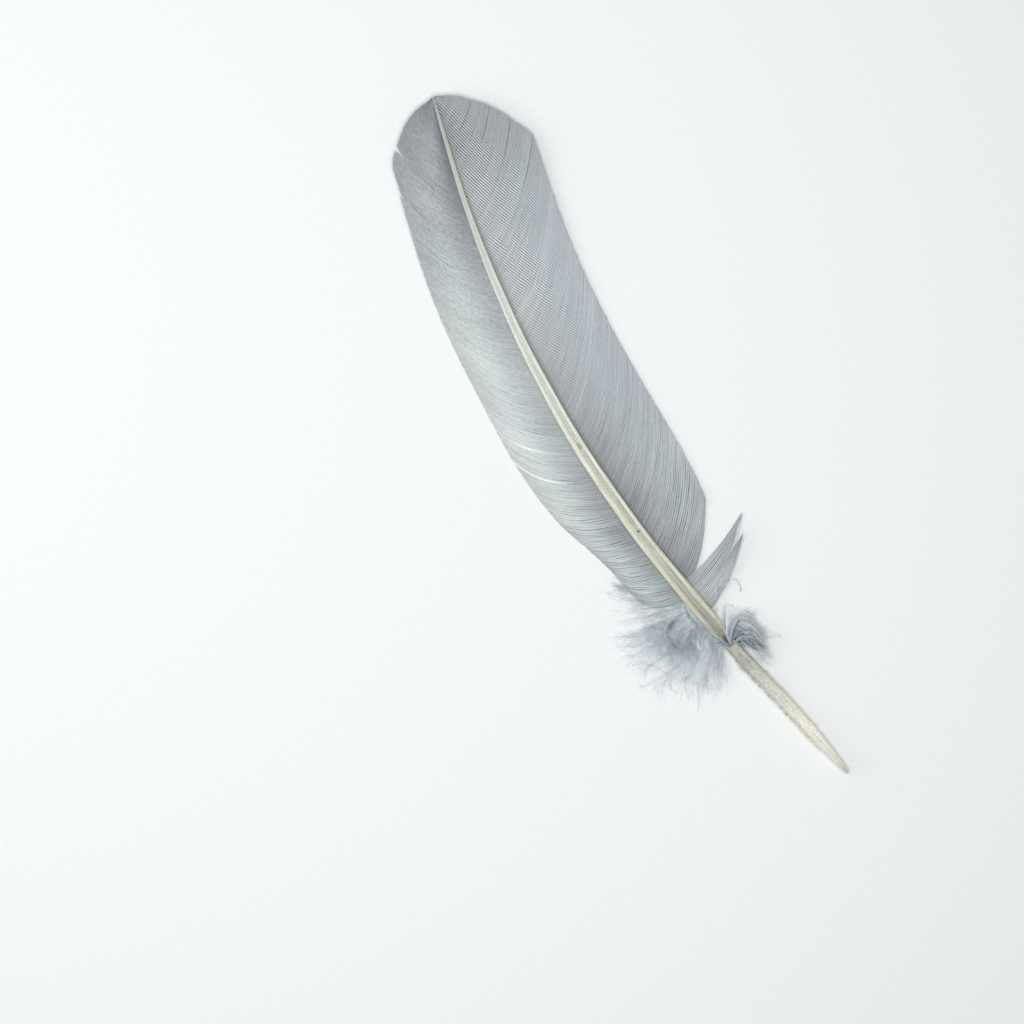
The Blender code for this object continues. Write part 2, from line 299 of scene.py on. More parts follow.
@dataclass(frozen=True)
class Ramp:
    """How one value follows another: while that one goes from low to high, it goes from first to last."""

    low: float
    high: float
    first: float | bpy.types.NodeSocket = 0.0
    last: float | bpy.types.NodeSocket = 1.0

    def inputs(self, value: bpy.types.NodeSocket) -> dict:
        """Inputs for a MapRange node that reads the value."""
        return {"Value": value, 1: self.low, 2: self.high, 3: self.first, 4: self.last}


@dataclass(frozen=True)
class Mark:
    """A dark spot or thin dark line on the shaft, or a pale patch of painted light where its darkness is
    below 0.

    It is an ellipse in the shaft's own coordinates.
    """

    middle: tuple[float, float]    # share of the half width, and along in millimetres
    size: tuple[float, float]      # half sizes in the same units
    darkness: float


@dataclass(frozen=True)
class HornFinish:
    """Keratin of the quill: ivory horn, scraped and dry, with fine lengthwise fibres.

    The eye sees cream ridges with a soft gloss, a greyer groove between them and browner walls at the foot.
    It reads grain: share of the half width, millimetres along, and share of the height. A pattern is the
    number of its spots to a unit of each of these, and how fine it gets.
    """

    name: str = "quill_horn_keratin"
    roughness: float = 0.42
    ridge_stops: tuple = ((0.0, "#d3d2c5"), (0.02, "#eae8dc"), (0.07, "#f0eee1"), (0.14, "#d6d6ca"),
                          (0.19, "#b5b6a9"), (0.25, "#bdbdab"), (0.31, "#ccccb9"), (0.42, "#dbddcb"),
                          (0.7, "#dbe1d9"), (0.83, "#ccd1ca"), (0.92, "#bcbfba"), (1.0, "#b6b9b5"))
    groove_stops: tuple = ((0.2, "#7a7f7a"), (0.24, "#a9ada4"), (0.26, "#989c91"), (0.31, "#a3a79b"),
                           (0.35, "#b5b9ae"), (0.42, "#b2b6a6"), (0.52, "#b8bdb0"), (0.62, "#c6cbbf"),
                           (0.7, "#cfd3ca"), (0.85, "#c8cbc4"), (1.0, "#b0b2ae"))
    groove_sides: Ramp = Ramp(0.48, 0.22)          # how much the groove shows, by how far from its middle
    groove_start: Ramp = Ramp(61.8, 63.0)          # and by how far along
    groove_goes: Ramp = Ramp(85.0, 110.0, 0.0, 0.18)       # its middle moves towards the wide vane
    groove_returns: Ramp = Ramp(120.0, 200.0, 0.0, 0.18)   # and back again farther up
    stain: str = "#b59f7c"         # browner patches of dried sheath
    stained: Ramp = Ramp(0.5, 0.75, 0.0, 0.4)      # how much of that colour the blotches bring
    painted_light_along: Ramp = Ramp(150.0, 240.0, 1.12, 0.95)      # painted light on the shaft's side towards the wide vane, whose flank the lamps leave in shade; near the tip it turns to a faint painted shade
    painted_light_across: tuple[float, float] = (0.35, 0.95)        # the painted light comes in between these places across
    glow: float = 0.6              # share of the light that spreads inside it
    fibres: tuple = ((7.0, 0.10, 6.0), 3.0)        # about 10 mm long and 0.4 mm wide
    specks: tuple = ((3.2, 1.3, 3.2), 3.0)         # of about 0.8 mm
    blotches: tuple = ((1.2, 0.35, 1.2), 4.0)      # of about 3 mm
    fibre_depth: float = 0.12      # in millimetres
    fibre_shades: Ramp = Ramp(0.3, 0.7, 0.80, 1.12)
    blotch_shades: Ramp = Ramp(0.3, 0.6, 0.90, 1.04)
    speck_noise: tuple[float, float] = (0.35, 0.65)        # the noise at a speck, and at the bare horn
    bare_shade: float = 1.05       # shade of the horn between specks
    quill_specks: Ramp = Ramp(15.0, 48.0, 0.90, 0.74)      # shade of a speck, darkest at the umbilicus
    rachis_specks: Ramp = Ramp(58.0, 72.0, 0.0, 0.93)      # and faintest on the rachis
    mark_border: tuple[float, float] = (0.5, 1.1)  # shares of its size between which a mark fades out
    mark_fall: float = 1.4         # how fast it fades down the walls
    marks: tuple[Mark, ...] = (Mark((0.12, 115.3), (0.21, 0.55), 0.95),
                               Mark((0.02, 119.0), (0.07, 3.4), 0.45),
                               Mark((0.05, 153.2), (0.30, 1.7), 0.40),
                               Mark((0.02, 64.6), (0.30, 2.6), 0.60),
                               Mark((-0.15, 54.5), (0.5, 5.0), 0.09),
                               # a patch of painted light on the quill's side towards the wide vane, where the
                               # curl's shadow falls
                               Mark((0.62, 54.5), (0.36, 6.0), -0.09),
                               Mark((0.10, 51.0), (0.15, 0.6), 0.35),
                               Mark((0.20, 53.6), (0.13, 0.9), 0.30),
                               Mark((0.24, 49.1), (0.13, 0.5), 0.30),
                               Mark((-0.02, 57.3), (0.17, 1.3), 0.28))

    def horn_colour(self, tree: bpy.types.NodeTree, across: bpy.types.NodeSocket,
                    along: bpy.types.NodeSocket) -> bpy.types.NodeSocket:
        """Colour of the ridges and of the groove between them.

        Args:
            tree: The material's node tree.
            across: Share of the half width.
            along: Millimetres along the shaft.

        Returns:
            The colour.
        """
        share = add_node(tree, "Math", {"operation": "DIVIDE"}, {0: along, 1: LENGTH}).outputs[0]
        ridge = add_node(tree, "ValToRGB", None, {0: share}, self.ridge_stops).outputs[0]
        groove = add_node(tree, "ValToRGB", None, {0: share}, self.groove_stops).outputs[0]
        gone_over = add_node(tree, "MapRange", None, self.groove_goes.inputs(along)).outputs[0]
        come_back = add_node(tree, "MapRange", None, self.groove_returns.inputs(along)).outputs[0]
        aside = add_node(tree, "Math", {"operation": "SUBTRACT"}, {0: across, 1: gone_over}).outputs[0]
        aside = add_node(tree, "Math", {"operation": "ADD"}, {0: aside, 1: come_back}).outputs[0]
        aside = add_node(tree, "Math", {"operation": "ABSOLUTE"}, {0: aside}).outputs[0]
        inside = add_node(tree, "MapRange", SMOOTH, self.groove_sides.inputs(aside)).outputs[0]
        begun = add_node(tree, "MapRange", None, self.groove_start.inputs(along)).outputs[0]
        inside = add_node(tree, "Math", MULTIPLY, {0: inside, 1: begun}).outputs[0]
        return add_node(tree, "Mix", COLOURS, {0: inside, 6: ridge, 7: groove}).outputs[2]

    def speck_shade(self, tree: bpy.types.NodeTree, specks: bpy.types.NodeSocket,
                    along: bpy.types.NodeSocket) -> bpy.types.NodeSocket:
        """Shade of the specks.

        Args:
            tree: The material's node tree.
            specks: Their noise.
            along: Millimetres along the shaft.

        Returns:
            A factor near 1.
        """
        on_quill = add_node(tree, "MapRange", None, self.quill_specks.inputs(along)).outputs[0]
        on_rachis = add_node(tree, "MapRange", None, self.rachis_specks.inputs(along)).outputs[0]
        darkest = add_node(tree, "Math", {"operation": "MAXIMUM"}, {0: on_quill, 1: on_rachis}).outputs[0]
        shades = Ramp(*self.speck_noise, darkest, self.bare_shade)
        return add_node(tree, "MapRange", None, shades.inputs(specks)).outputs[0]

    def mark_shade(self, tree: bpy.types.NodeTree, grain: bpy.types.NodeSocket,
                   mark: Mark) -> bpy.types.NodeSocket:
        """Shade of one mark.

        Args:
            tree: The material's node tree.
            grain: The attribute grain.
            mark: The mark, which lies on the upper face.

        Returns:
            A factor near 1.
        """
        away = add_node(tree, "VectorMath", {"operation": "SUBTRACT"},
                        {0: grain, 1: (*mark.middle, 1.0)}).outputs[0]
        sized = add_node(tree, "VectorMath", MULTIPLY,
                         {0: away, 1: (1 / mark.size[0], 1 / mark.size[1], self.mark_fall)}).outputs[0]
        distance = add_node(tree, "VectorMath", {"operation": "LENGTH"}, {0: sized}).outputs["Value"]
        shades = Ramp(*self.mark_border, 1 - mark.darkness, 1.0)
        return add_node(tree, "MapRange", SMOOTH, shades.inputs(distance)).outputs[0]

    def make(self) -> bpy.types.Material:
        """Builds the material.

        Returns:
            The material; it reads the piece's attribute grain.
        """
        material = new_material(self.name, self.roughness, glow=self.glow)
        tree = material.node_tree
        grain = add_node(tree, "Attribute", {"attribute_name": "grain"}).outputs["Vector"]
        across, along, _ = add_node(tree, "SeparateXYZ", None, {0: grain}).outputs
        noises = []
        for stretch, detail in (self.fibres, self.specks, self.blotches):
            place = add_node(tree, "VectorMath", MULTIPLY, {0: grain, 1: stretch}).outputs[0]
            noises.append(add_node(tree, "TexNoise", None,
                                   {"Vector": place, "Scale": 1.0, "Detail": detail}).outputs[0])
        fibres, specks, blotches = noises
        stained = add_node(tree, "MapRange", None, self.stained.inputs(blotches)).outputs[0]
        colour = add_node(tree, "Mix", COLOURS, {0: stained, 6: self.horn_colour(tree, across, along),
                                                 7: linear(self.stain)}).outputs[2]
        # painted light on the shaft's side towards the wide vane
        side_light = add_node(tree, "MapRange", None, self.painted_light_along.inputs(along)).outputs[0]
        side_light_ramp = Ramp(*self.painted_light_across, 1.0, side_light)
        shades = [add_node(tree, "MapRange", None, self.fibre_shades.inputs(fibres)).outputs[0],
                  add_node(tree, "MapRange", None, self.blotch_shades.inputs(blotches)).outputs[0],
                  self.speck_shade(tree, specks, along),
                  add_node(tree, "MapRange", None, side_light_ramp.inputs(across)).outputs[0]]
        shades += [self.mark_shade(tree, grain, mark) for mark in self.marks]
        dress(tree, colour, shades, fibres, self.fibre_depth * MM)
        return material


@dataclass(frozen=True)
class VaneReadings:
    """What a vane's material reads from its mesh, as sockets of its node tree."""

    tree: bpy.types.NodeTree
    along: bpy.types.NodeSocket        # share of the feather's length
    out: bpy.types.NodeSocket          # share of the way from the shaft to the free edge
    tone: bpy.types.NodeSocket         # how much lighter or darker the barb is
    reach: bpy.types.NodeSocket        # millimetres out along the barb
    barb: bpy.types.NodeSocket         # number of the barb; its borders lie half a number away
    seam: bpy.types.NodeSocket         # painted shadow above 0, on a border that faces a dark split; painted highlight below 0, on one that faces a pale split
    weave: bpy.types.NodeSocket        # the last three as a vector
    position: bpy.types.NodeSocket     # object coordinates, metres


def read_vane(tree: bpy.types.NodeTree) -> VaneReadings:
    """Adds the nodes that read a vane's attributes lay and weave.

    Args:
        tree: The material's node tree.

    Returns:
        What they read.
    """
    lay = add_node(tree, "Attribute", {"attribute_name": "lay"}).outputs["Vector"]
    weave = add_node(tree, "Attribute", {"attribute_name": "weave"}).outputs["Vector"]
    along, out, tone = add_node(tree, "SeparateXYZ", None, {0: lay}).outputs
    reach, barb, seam = add_node(tree, "SeparateXYZ", None, {0: weave}).outputs
    position = add_node(tree, "TexCoord").outputs["Object"]
    return VaneReadings(tree, along, out, tone, reach, barb, seam, weave, position)


@dataclass(frozen=True)
class VaneFinish:
    """Barbs of a dyed flight feather: dry keratin ribbons hooked together into a matt silky sheet.

    The eye sees fine lines along the barbs, a fainter hatch of barbules across them and soft clouds of dye.
    A pattern is the number of its spots to a millimetre out and to a barb, and how fine it gets.
    """

    name: str
    slot: Slot
    shaft_stops: tuple             # colours beside the shaft, from foot to tip
    edge_stops: tuple              # colours at the free edge
    edge_share: Ramp = Ramp(0.0, 0.6)                # by how far out
    roughness: float = 0.68
    sheen: float = 0.08

    gap_shadow: float = 0.55           # painted shadow: how much darker a barb is along its borders, where it meets the next, before the hatch begins
    gap_shadow_line: Ramp = Ramp(0.2, 0.5)             # by how far from the barb's middle, as a share of it
    fading: float = 0.6            # how unevenly those dark borders show
    root: float = 0.86             # painted shadow in the crease where the barbs leave the shaft
    crease: float = 0.06           # share of the way out where the crease ends
    bare: float = 1.9              # painted highlight: how much paler a barb's border is beside a pale split, where its bare edge catches the light
    split_shadow_shades: Ramp = Ramp(0.35, 1.0, 1.0, 0.35)        # painted shadow on a border beside a dark split
    barb_shades: Ramp = Ramp(-1.0, 1.0, 0.965, 1.035)      # of whole barbs, by their tone

    hatch: float = 1.45            # strength of the barbule hatch
    hatch_pitch: float = 0.9       # barbules are 0.03 mm apart; the hatch is as coarse as it needs to show
    hatch_turn: float = 0.48       # how far it steps out from barb to barb, so that it lies square to them
    hatch_from: float = 0.42       # share of the feather's length where the hatch begins to show
    hatch_over: float = 0.58       # and share in which it comes to its full strength
    hatch_bend: float = 1.4        # how far its lines bend, in lines
    hatch_beat: tuple[float, float, float] = (0.74, 0.4, 0.65)     # turn from barb to barb, swing, middle
    wave_scale: float = 110.0      # per metre: the hatch's lines bend over about 9 mm
    patch_scale: float = 190.0     # it comes and goes over about 5 mm
    patch_shown: Ramp = Ramp(0.36, 0.54, 0.25, 1.0)
    shaft_shown: Ramp = Ramp(0.0, 0.22, 0.4, 1.0)          # how much of it shows near the shaft
    darkest: float = 0.1           # shade that no line of the hatch goes below
    relief: float = 0.02           # of the hatch, in millimetres

    groups: float = 0.14           # how much lighter and darker the bundles of barbs are before the hatch
    streaks: tuple = ((0.06, 0.8, 0.0), 3.0)       # bundles about 17 mm long and a barb or two wide
    mottle: float = 0.07           # short lighter and darker strokes along the barbs, at the tip
    strokes: tuple = ((0.55, 1.2, 0.0), 2.0)       # about 2 mm long and a barb wide
    cloud_scale: float = 70.0      # per metre: clouds of dye of about 14 mm
    cloud_shades: Ramp = Ramp(0.3, 0.7, 0.97, 1.03)

    def dye(self, read: VaneReadings) -> bpy.types.NodeSocket:
        """Colour of the barbs, from the shaft to the free edge and from foot to tip.

        Args:
            read: The mesh's readings.

        Returns:
            The colour.
        """
        near = add_node(read.tree, "ValToRGB", None, {0: read.along}, self.shaft_stops).outputs[0]
        far = add_node(read.tree, "ValToRGB", None, {0: read.along}, self.edge_stops).outputs[0]
        share = add_node(read.tree, "MapRange", SMOOTH, self.edge_share.inputs(read.out)).outputs[0]
        return add_node(read.tree, "Mix", COLOURS, {0: share, 6: near, 7: far}).outputs[2]

    def gap_shadow_shade(self, read: VaneReadings, streaks: bpy.types.NodeSocket) -> bpy.types.NodeSocket:
        """Painted shadow in the dark lines where barbs meet; they fade in and out, and towards the tip.

        Args:
            read: The mesh's readings.
            streaks: Long streaks of noise.

        Returns:
            A factor near 1.
        """
        tree = read.tree
        off_middle = add_node(tree, "Math", {"operation": "PINGPONG"}, {0: read.barb, 1: 0.5}).outputs[0]
        line = add_node(tree, "MapRange", SMOOTH, self.gap_shadow_line.inputs(off_middle)).outputs[0]
        by_place = Ramp(self.hatch_from - 0.1, self.hatch_from + 0.25, self.gap_shadow, self.gap_shadow / 3)
        by_streak = Ramp(0.38, 0.6, 0.85 + 0.5 * self.fading, 0.85 - 0.55 * self.fading)
        depth = add_node(tree, "MapRange", SMOOTH, by_place.inputs(read.along)).outputs[0]
        uneven = add_node(tree, "MapRange", None, by_streak.inputs(streaks)).outputs[0]
        depth = add_node(tree, "Math", MULTIPLY, {0: depth, 1: uneven}).outputs[0]
        dark = add_node(tree, "Math", MULTIPLY, {0: line, 1: depth}).outputs[0]
        return add_node(tree, "Math", {"operation": "SUBTRACT"}, {0: 1.0, 1: dark}).outputs[0]

    def own_shades(self, read: VaneReadings) -> list[bpy.types.NodeSocket]:
        """Shades of whole barbs, the painted shadow and painted highlight on borders that face a dark or a
        pale split, and the painted shadow in the crease at the barbs' roots.

        Args:
            read: The mesh's readings.

        Returns:
            Factors near 1.
        """
        split_highlight = Ramp(-1.0, 0.0, self.bare, 1.0)
        crease_shadow = Ramp(0.0, self.crease, self.root, 1.0)
        return [add_node(read.tree, "MapRange", UNLIMITED, self.barb_shades.inputs(read.tone)).outputs[0],
                add_node(read.tree, "MapRange", None, self.split_shadow_shades.inputs(read.seam)).outputs[0],
                add_node(read.tree, "MapRange", None, split_highlight.inputs(read.seam)).outputs[0],
                add_node(read.tree, "MapRange", None, crease_shadow.inputs(read.out)).outputs[0]]

    def barbule_wave(self, read: VaneReadings) -> bpy.types.NodeSocket:
        """Lines of barbules across the barbs, slightly bent, and fainter on some barbs than on others.

        Args:
            read: The mesh's readings.

        Returns:
            A wave between about -1 and 1.
        """
        tree = read.tree
        beat_turn, swing, middle = self.hatch_beat
        turned = add_node(tree, "Math", MULTIPLY, {0: read.barb, 1: self.hatch_turn}).outputs[0]
        run = add_node(tree, "Math", {"operation": "DIVIDE"}, {0: read.reach, 1: self.hatch_pitch}).outputs[0]
        phase = add_node(tree, "Math", {"operation": "ADD"}, {0: run, 1: turned}).outputs[0]
        bends = add_node(tree, "TexNoise", None,
                         {"Vector": read.position, "Scale": self.wave_scale, "Detail": 1.0}).outputs[0]
        phase = add_node(tree, "Math", MULTIPLY_ADD, {0: bends, 1: self.hatch_bend, 2: phase}).outputs[0]
        angle = add_node(tree, "Math", MULTIPLY, {0: phase, 1: math.tau}).outputs[0]
        wave = add_node(tree, "Math", {"operation": "SINE"}, {0: angle}).outputs[0]
        angle = add_node(tree, "Math", MULTIPLY, {0: read.barb, 1: beat_turn * math.tau}).outputs[0]
        beat = add_node(tree, "Math", {"operation": "SINE"}, {0: angle}).outputs[0]
        beat = add_node(tree, "Math", MULTIPLY_ADD, {0: beat, 1: swing, 2: middle}).outputs[0]
        return add_node(tree, "Math", MULTIPLY, {0: wave, 1: beat}).outputs[0]

    def hatch_shade(self, read: VaneReadings, wave: bpy.types.NodeSocket) -> bpy.types.NodeSocket:
        """Shade of the barbules, which show most towards the tip and least near shaft and edge.

        Args:
            read: The mesh's readings.
            wave: The barbules' wave.

        Returns:
            A factor near 1.
        """
        tree = read.tree
        patches = add_node(tree, "TexNoise", None,
                           {"Vector": read.position, "Scale": self.patch_scale, "Detail": 1.0}).outputs[0]
        to_tip = Ramp(self.hatch_from, self.hatch_from + self.hatch_over, 0.06, 1.0)
        to_edge = Ramp(0.9, 0.5, 0.10, self.hatch)
        shown = add_node(tree, "MapRange", SMOOTH, to_tip.inputs(read.along)).outputs[0]
        before_edge = add_node(tree, "MapRange", SMOOTH, to_edge.inputs(read.out)).outputs[0]
        off_shaft = add_node(tree, "MapRange", SMOOTH, self.shaft_shown.inputs(read.out)).outputs[0]
        between = add_node(tree, "Math", MULTIPLY, {0: before_edge, 1: off_shaft}).outputs[0]
        patched = add_node(tree, "MapRange", None, self.patch_shown.inputs(patches)).outputs[0]
        strength = add_node(tree, "Math", MULTIPLY, {0: shown, 1: between}).outputs[0]
        strength = add_node(tree, "Math", MULTIPLY, {0: strength, 1: patched}).outputs[0]
        shade = add_node(tree, "Math", MULTIPLY_ADD, {0: wave, 1: strength, 2: 1.0}).outputs[0]
        return add_node(tree, "Math", {"operation": "MAXIMUM"}, {0: shade, 1: self.darkest}).outputs[0]

    def streak_shades(self, read: VaneReadings, streaks: bpy.types.NodeSocket,
                      strokes: bpy.types.NodeSocket) -> list[bpy.types.NodeSocket]:
        """Shades of the bundles of barbs, of short strokes along them and of the clouds of dye.

        Args:
            read: The mesh's readings.
            streaks: Long streaks of noise.
            strokes: Short ones.

        Returns:
            Factors near 1.
        """
        tree = read.tree
        swing = Ramp(self.hatch_from - 0.1, self.hatch_from + 0.15, self.groups, 0.05)
        mottle = Ramp(0.45, 0.9, 0.04, self.mottle)
        streaks = add_node(tree, "MapRange", UNLIMITED, Ramp(0.3, 0.7, -1.0).inputs(streaks)).outputs[0]
        swing = add_node(tree, "MapRange", SMOOTH, swing.inputs(read.along)).outputs[0]
        strokes = add_node(tree, "MapRange", None, Ramp(0.35, 0.65, -1.0).inputs(strokes)).outputs[0]
        mottle = add_node(tree, "MapRange", None, mottle.inputs(read.along)).outputs[0]
        clouds = add_node(tree, "TexNoise", None,
                          {"Vector": read.position, "Scale": self.cloud_scale, "Detail": 3.0}).outputs[0]
        return [add_node(tree, "Math", MULTIPLY_ADD, {0: streaks, 1: swing, 2: 1.0}).outputs[0],
                add_node(tree, "Math", MULTIPLY_ADD, {0: strokes, 1: mottle, 2: 1.0}).outputs[0],
                add_node(tree, "MapRange", None, self.cloud_shades.inputs(clouds)).outputs[0]]

    def make(self) -> bpy.types.Material:
        """Builds the material.

        Returns:
            The material; it reads the piece's attributes lay and weave.
        """
        material = new_material(self.name, self.roughness, sheen=self.sheen)
        read = read_vane(material.node_tree)
        noises = []
        for stretch, detail in (self.streaks, self.strokes):
            place = add_node(read.tree, "VectorMath", MULTIPLY, {0: read.weave, 1: stretch}).outputs[0]
            noises.append(add_node(read.tree, "TexNoise", None,
                                   {"Vector": place, "Scale": 1.0, "Detail": detail}).outputs[0])
        streaks, strokes = noises
        wave = self.barbule_wave(read)
        shades = [self.gap_shadow_shade(read, streaks), *self.own_shades(read), self.hatch_shade(read, wave),
                  *self.streak_shades(read, streaks, strokes)]
        dress(read.tree, self.dye(read), shades, wave, self.relief * MM)
        return material


@dataclass(frozen=True)
class DownFinish:
    """Dyed down: hair-fine matt keratin that catches the light along its length.

    The eye sees a lavender-grey haze, darkest where the strands crowd and pale at their tips.
    """

    name: str = "dyed_down_barbules"
    root_colour: str = "#a2abb2"
    tip_colour: str = "#bac2c7"
    roughness: float = 0.8
    sheen: float = 0.1
    strand_shades: Ramp = Ramp(-1.0, 1.0, 0.72, 1.28)      # by the strand's tone
    mottle_scale: float = 300.0    # per metre: light and dark over about 3 mm
    mottle_shades: Ramp = Ramp(0.3, 0.7, 0.9, 1.08)

    def make(self) -> bpy.types.Material:
        """Builds the material.

        Returns:
            The material; it reads the piece's attribute strand.
        """
        material = new_material(self.name, self.roughness, sheen=self.sheen)
        tree = material.node_tree
        strand = add_node(tree, "Attribute", {"attribute_name": "strand"}).outputs["Vector"]
        share, tone, _ = add_node(tree, "SeparateXYZ", None, {0: strand}).outputs
        colour = add_node(tree, "ValToRGB", None, {0: share},
                          ((0.0, self.root_colour), (1.0, self.tip_colour))).outputs[0]
        position = add_node(tree, "TexCoord").outputs["Object"]
        mottle = add_node(tree, "TexNoise", None, {"Vector": position, "Scale": self.mottle_scale}).outputs[0]
        shades = [add_node(tree, "MapRange", UNLIMITED, self.strand_shades.inputs(tone)).outputs[0],
                  add_node(tree, "MapRange", None, self.mottle_shades.inputs(mottle)).outputs[0]]
        dress(tree, colour, shades)
        return material


@dataclass(frozen=True)
class CardFinish:
    """Matt white card under the feather, with the faintest tooth."""

    name: str = "matt_white_card"
    stops: tuple = ((0.35, "#eef1f1"), (0.65, "#f1f4f3"))
    roughness: float = 0.9
    tooth_scale: float = 900.0     # per metre: a tooth of about 1 mm, coarser than real so that it shows

    def make(self) -> bpy.types.Material:
        """Builds the material.

        Returns:
            The material.
        """
        material = new_material(self.name, self.roughness)
        tree = material.node_tree
        position = add_node(tree, "TexCoord").outputs["Object"]
        tooth = add_node(tree, "TexNoise", None, {"Vector": position, "Scale": self.tooth_scale}).outputs[0]
        dress(tree, add_node(tree, "ValToRGB", None, {0: tooth}, self.stops).outputs[0], [])
        return material


def finish_piece(piece: bpy.types.Object, material: bpy.types.Material, slot: Slot, *nodes: str,
                 smooth_angle: float = 35.0) -> bpy.types.Object:
    """Gives a piece its material and smooth shading, and ties it to the part.

    Args:
        piece: The finished mesh, placed in the part's frame.
        material: What it is made of.
        slot: Material slot of the record that it takes its finish from; not used.
        nodes: CAD nodes that it stands for.
        smooth_angle: Edges sharper than this many degrees stay sharp.

    Returns:
        The piece.
    """
    bpy.ops.object.select_all(action="DESELECT")
    piece.select_set(True)
    bpy.context.view_layer.objects.active = piece
    bpy.ops.object.shade_smooth_by_angle(angle=math.radians(smooth_angle))
    piece.data.materials.clear()
    piece.data.materials.append(material)
    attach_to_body(piece, "root")
    if nodes:
        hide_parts(*nodes)
    log.info("%s: %d vertices, %d faces", piece.name, len(piece.data.vertices), len(piece.data.polygons))
    return piece


def lay_grid(name: str, points: np.ndarray, facts: dict[str, np.ndarray]) -> bpy.types.Object:
    """Adds a grid and shapes it.

    Args:
        name: Name of the new object.
        points: Scene positions by row, place along the row, and x, y, z.
        facts: Three values for each point, by the name of their attribute.

    Returns:
        The grid.
    """
    rows, columns, _ = points.shape
    bpy.ops.object.select_all(action="DESELECT")
    bpy.ops.mesh.primitive_grid_add(x_subdivisions=columns - 1, y_subdivisions=rows - 1, calc_uvs=False)
    grid = bpy.context.object
    grid.name = name
    grid.data.vertices.foreach_set("co", points.astype(np.float32).ravel())
    for fact, values in facts.items():
        attribute = grid.data.attributes.new(fact, "FLOAT_VECTOR", "POINT")
        attribute.data.foreach_set("vector", values.astype(np.float32).ravel())
    return grid


def make_ribbons(name: str, points: np.ndarray, thickness: float,
                 facts: dict[str, np.ndarray]) -> bpy.types.Object:
    """Makes closed ribbons from one grid that is laid out row by row and cut between them.

    Args:
        name: Name of the new object.
        points: Scene positions by ribbon, line across it, station along it, and x, y, z.
        thickness: Thickness of the ribbons in metres, added under them.
        facts: Three values for each point, by the name of their attribute.

    Returns:
        The object that holds them.
    """
    _, lines, stations, _ = points.shape
    piece = lay_grid(name, points.reshape(-1, stations, 3), facts)
    mesh = piece.data
    bpy.context.tool_settings.mesh_select_mode = (False, False, True)
    bpy.ops.object.mode_set(mode="EDIT")
    bpy.ops.mesh.select_all(action="DESELECT")
    bpy.ops.object.mode_set(mode="OBJECT")
    row = np.arange(len(mesh.polygons)) // (stations - 1)
    mesh.polygons.foreach_set("select", row % lines == lines - 1)
    bpy.ops.object.mode_set(mode="EDIT")
    bpy.ops.mesh.delete(type="FACE")
    bpy.ops.object.mode_set(mode="OBJECT")
    bpy.ops.object.modifier_add(type="SOLIDIFY")
    wall = piece.modifiers[-1]
    wall.thickness = thickness
    bpy.ops.object.modifier_apply(modifier=wall.name)
    return piece


def join_pieces(name: str, pieces: list[bpy.types.Object]) -> bpy.types.Object:
    """Joins objects into one piece.

    Args:
        name: The piece's name.
        pieces: The objects.

    Returns:
        The piece.
    """
    bpy.ops.object.select_all(action="DESELECT")
    for piece in pieces:
        piece.select_set(True)
    bpy.context.view_layer.objects.active = pieces[0]
    if len(pieces) > 1:
        bpy.ops.object.join()
    joined = bpy.context.object
    joined.name = name
    return joined


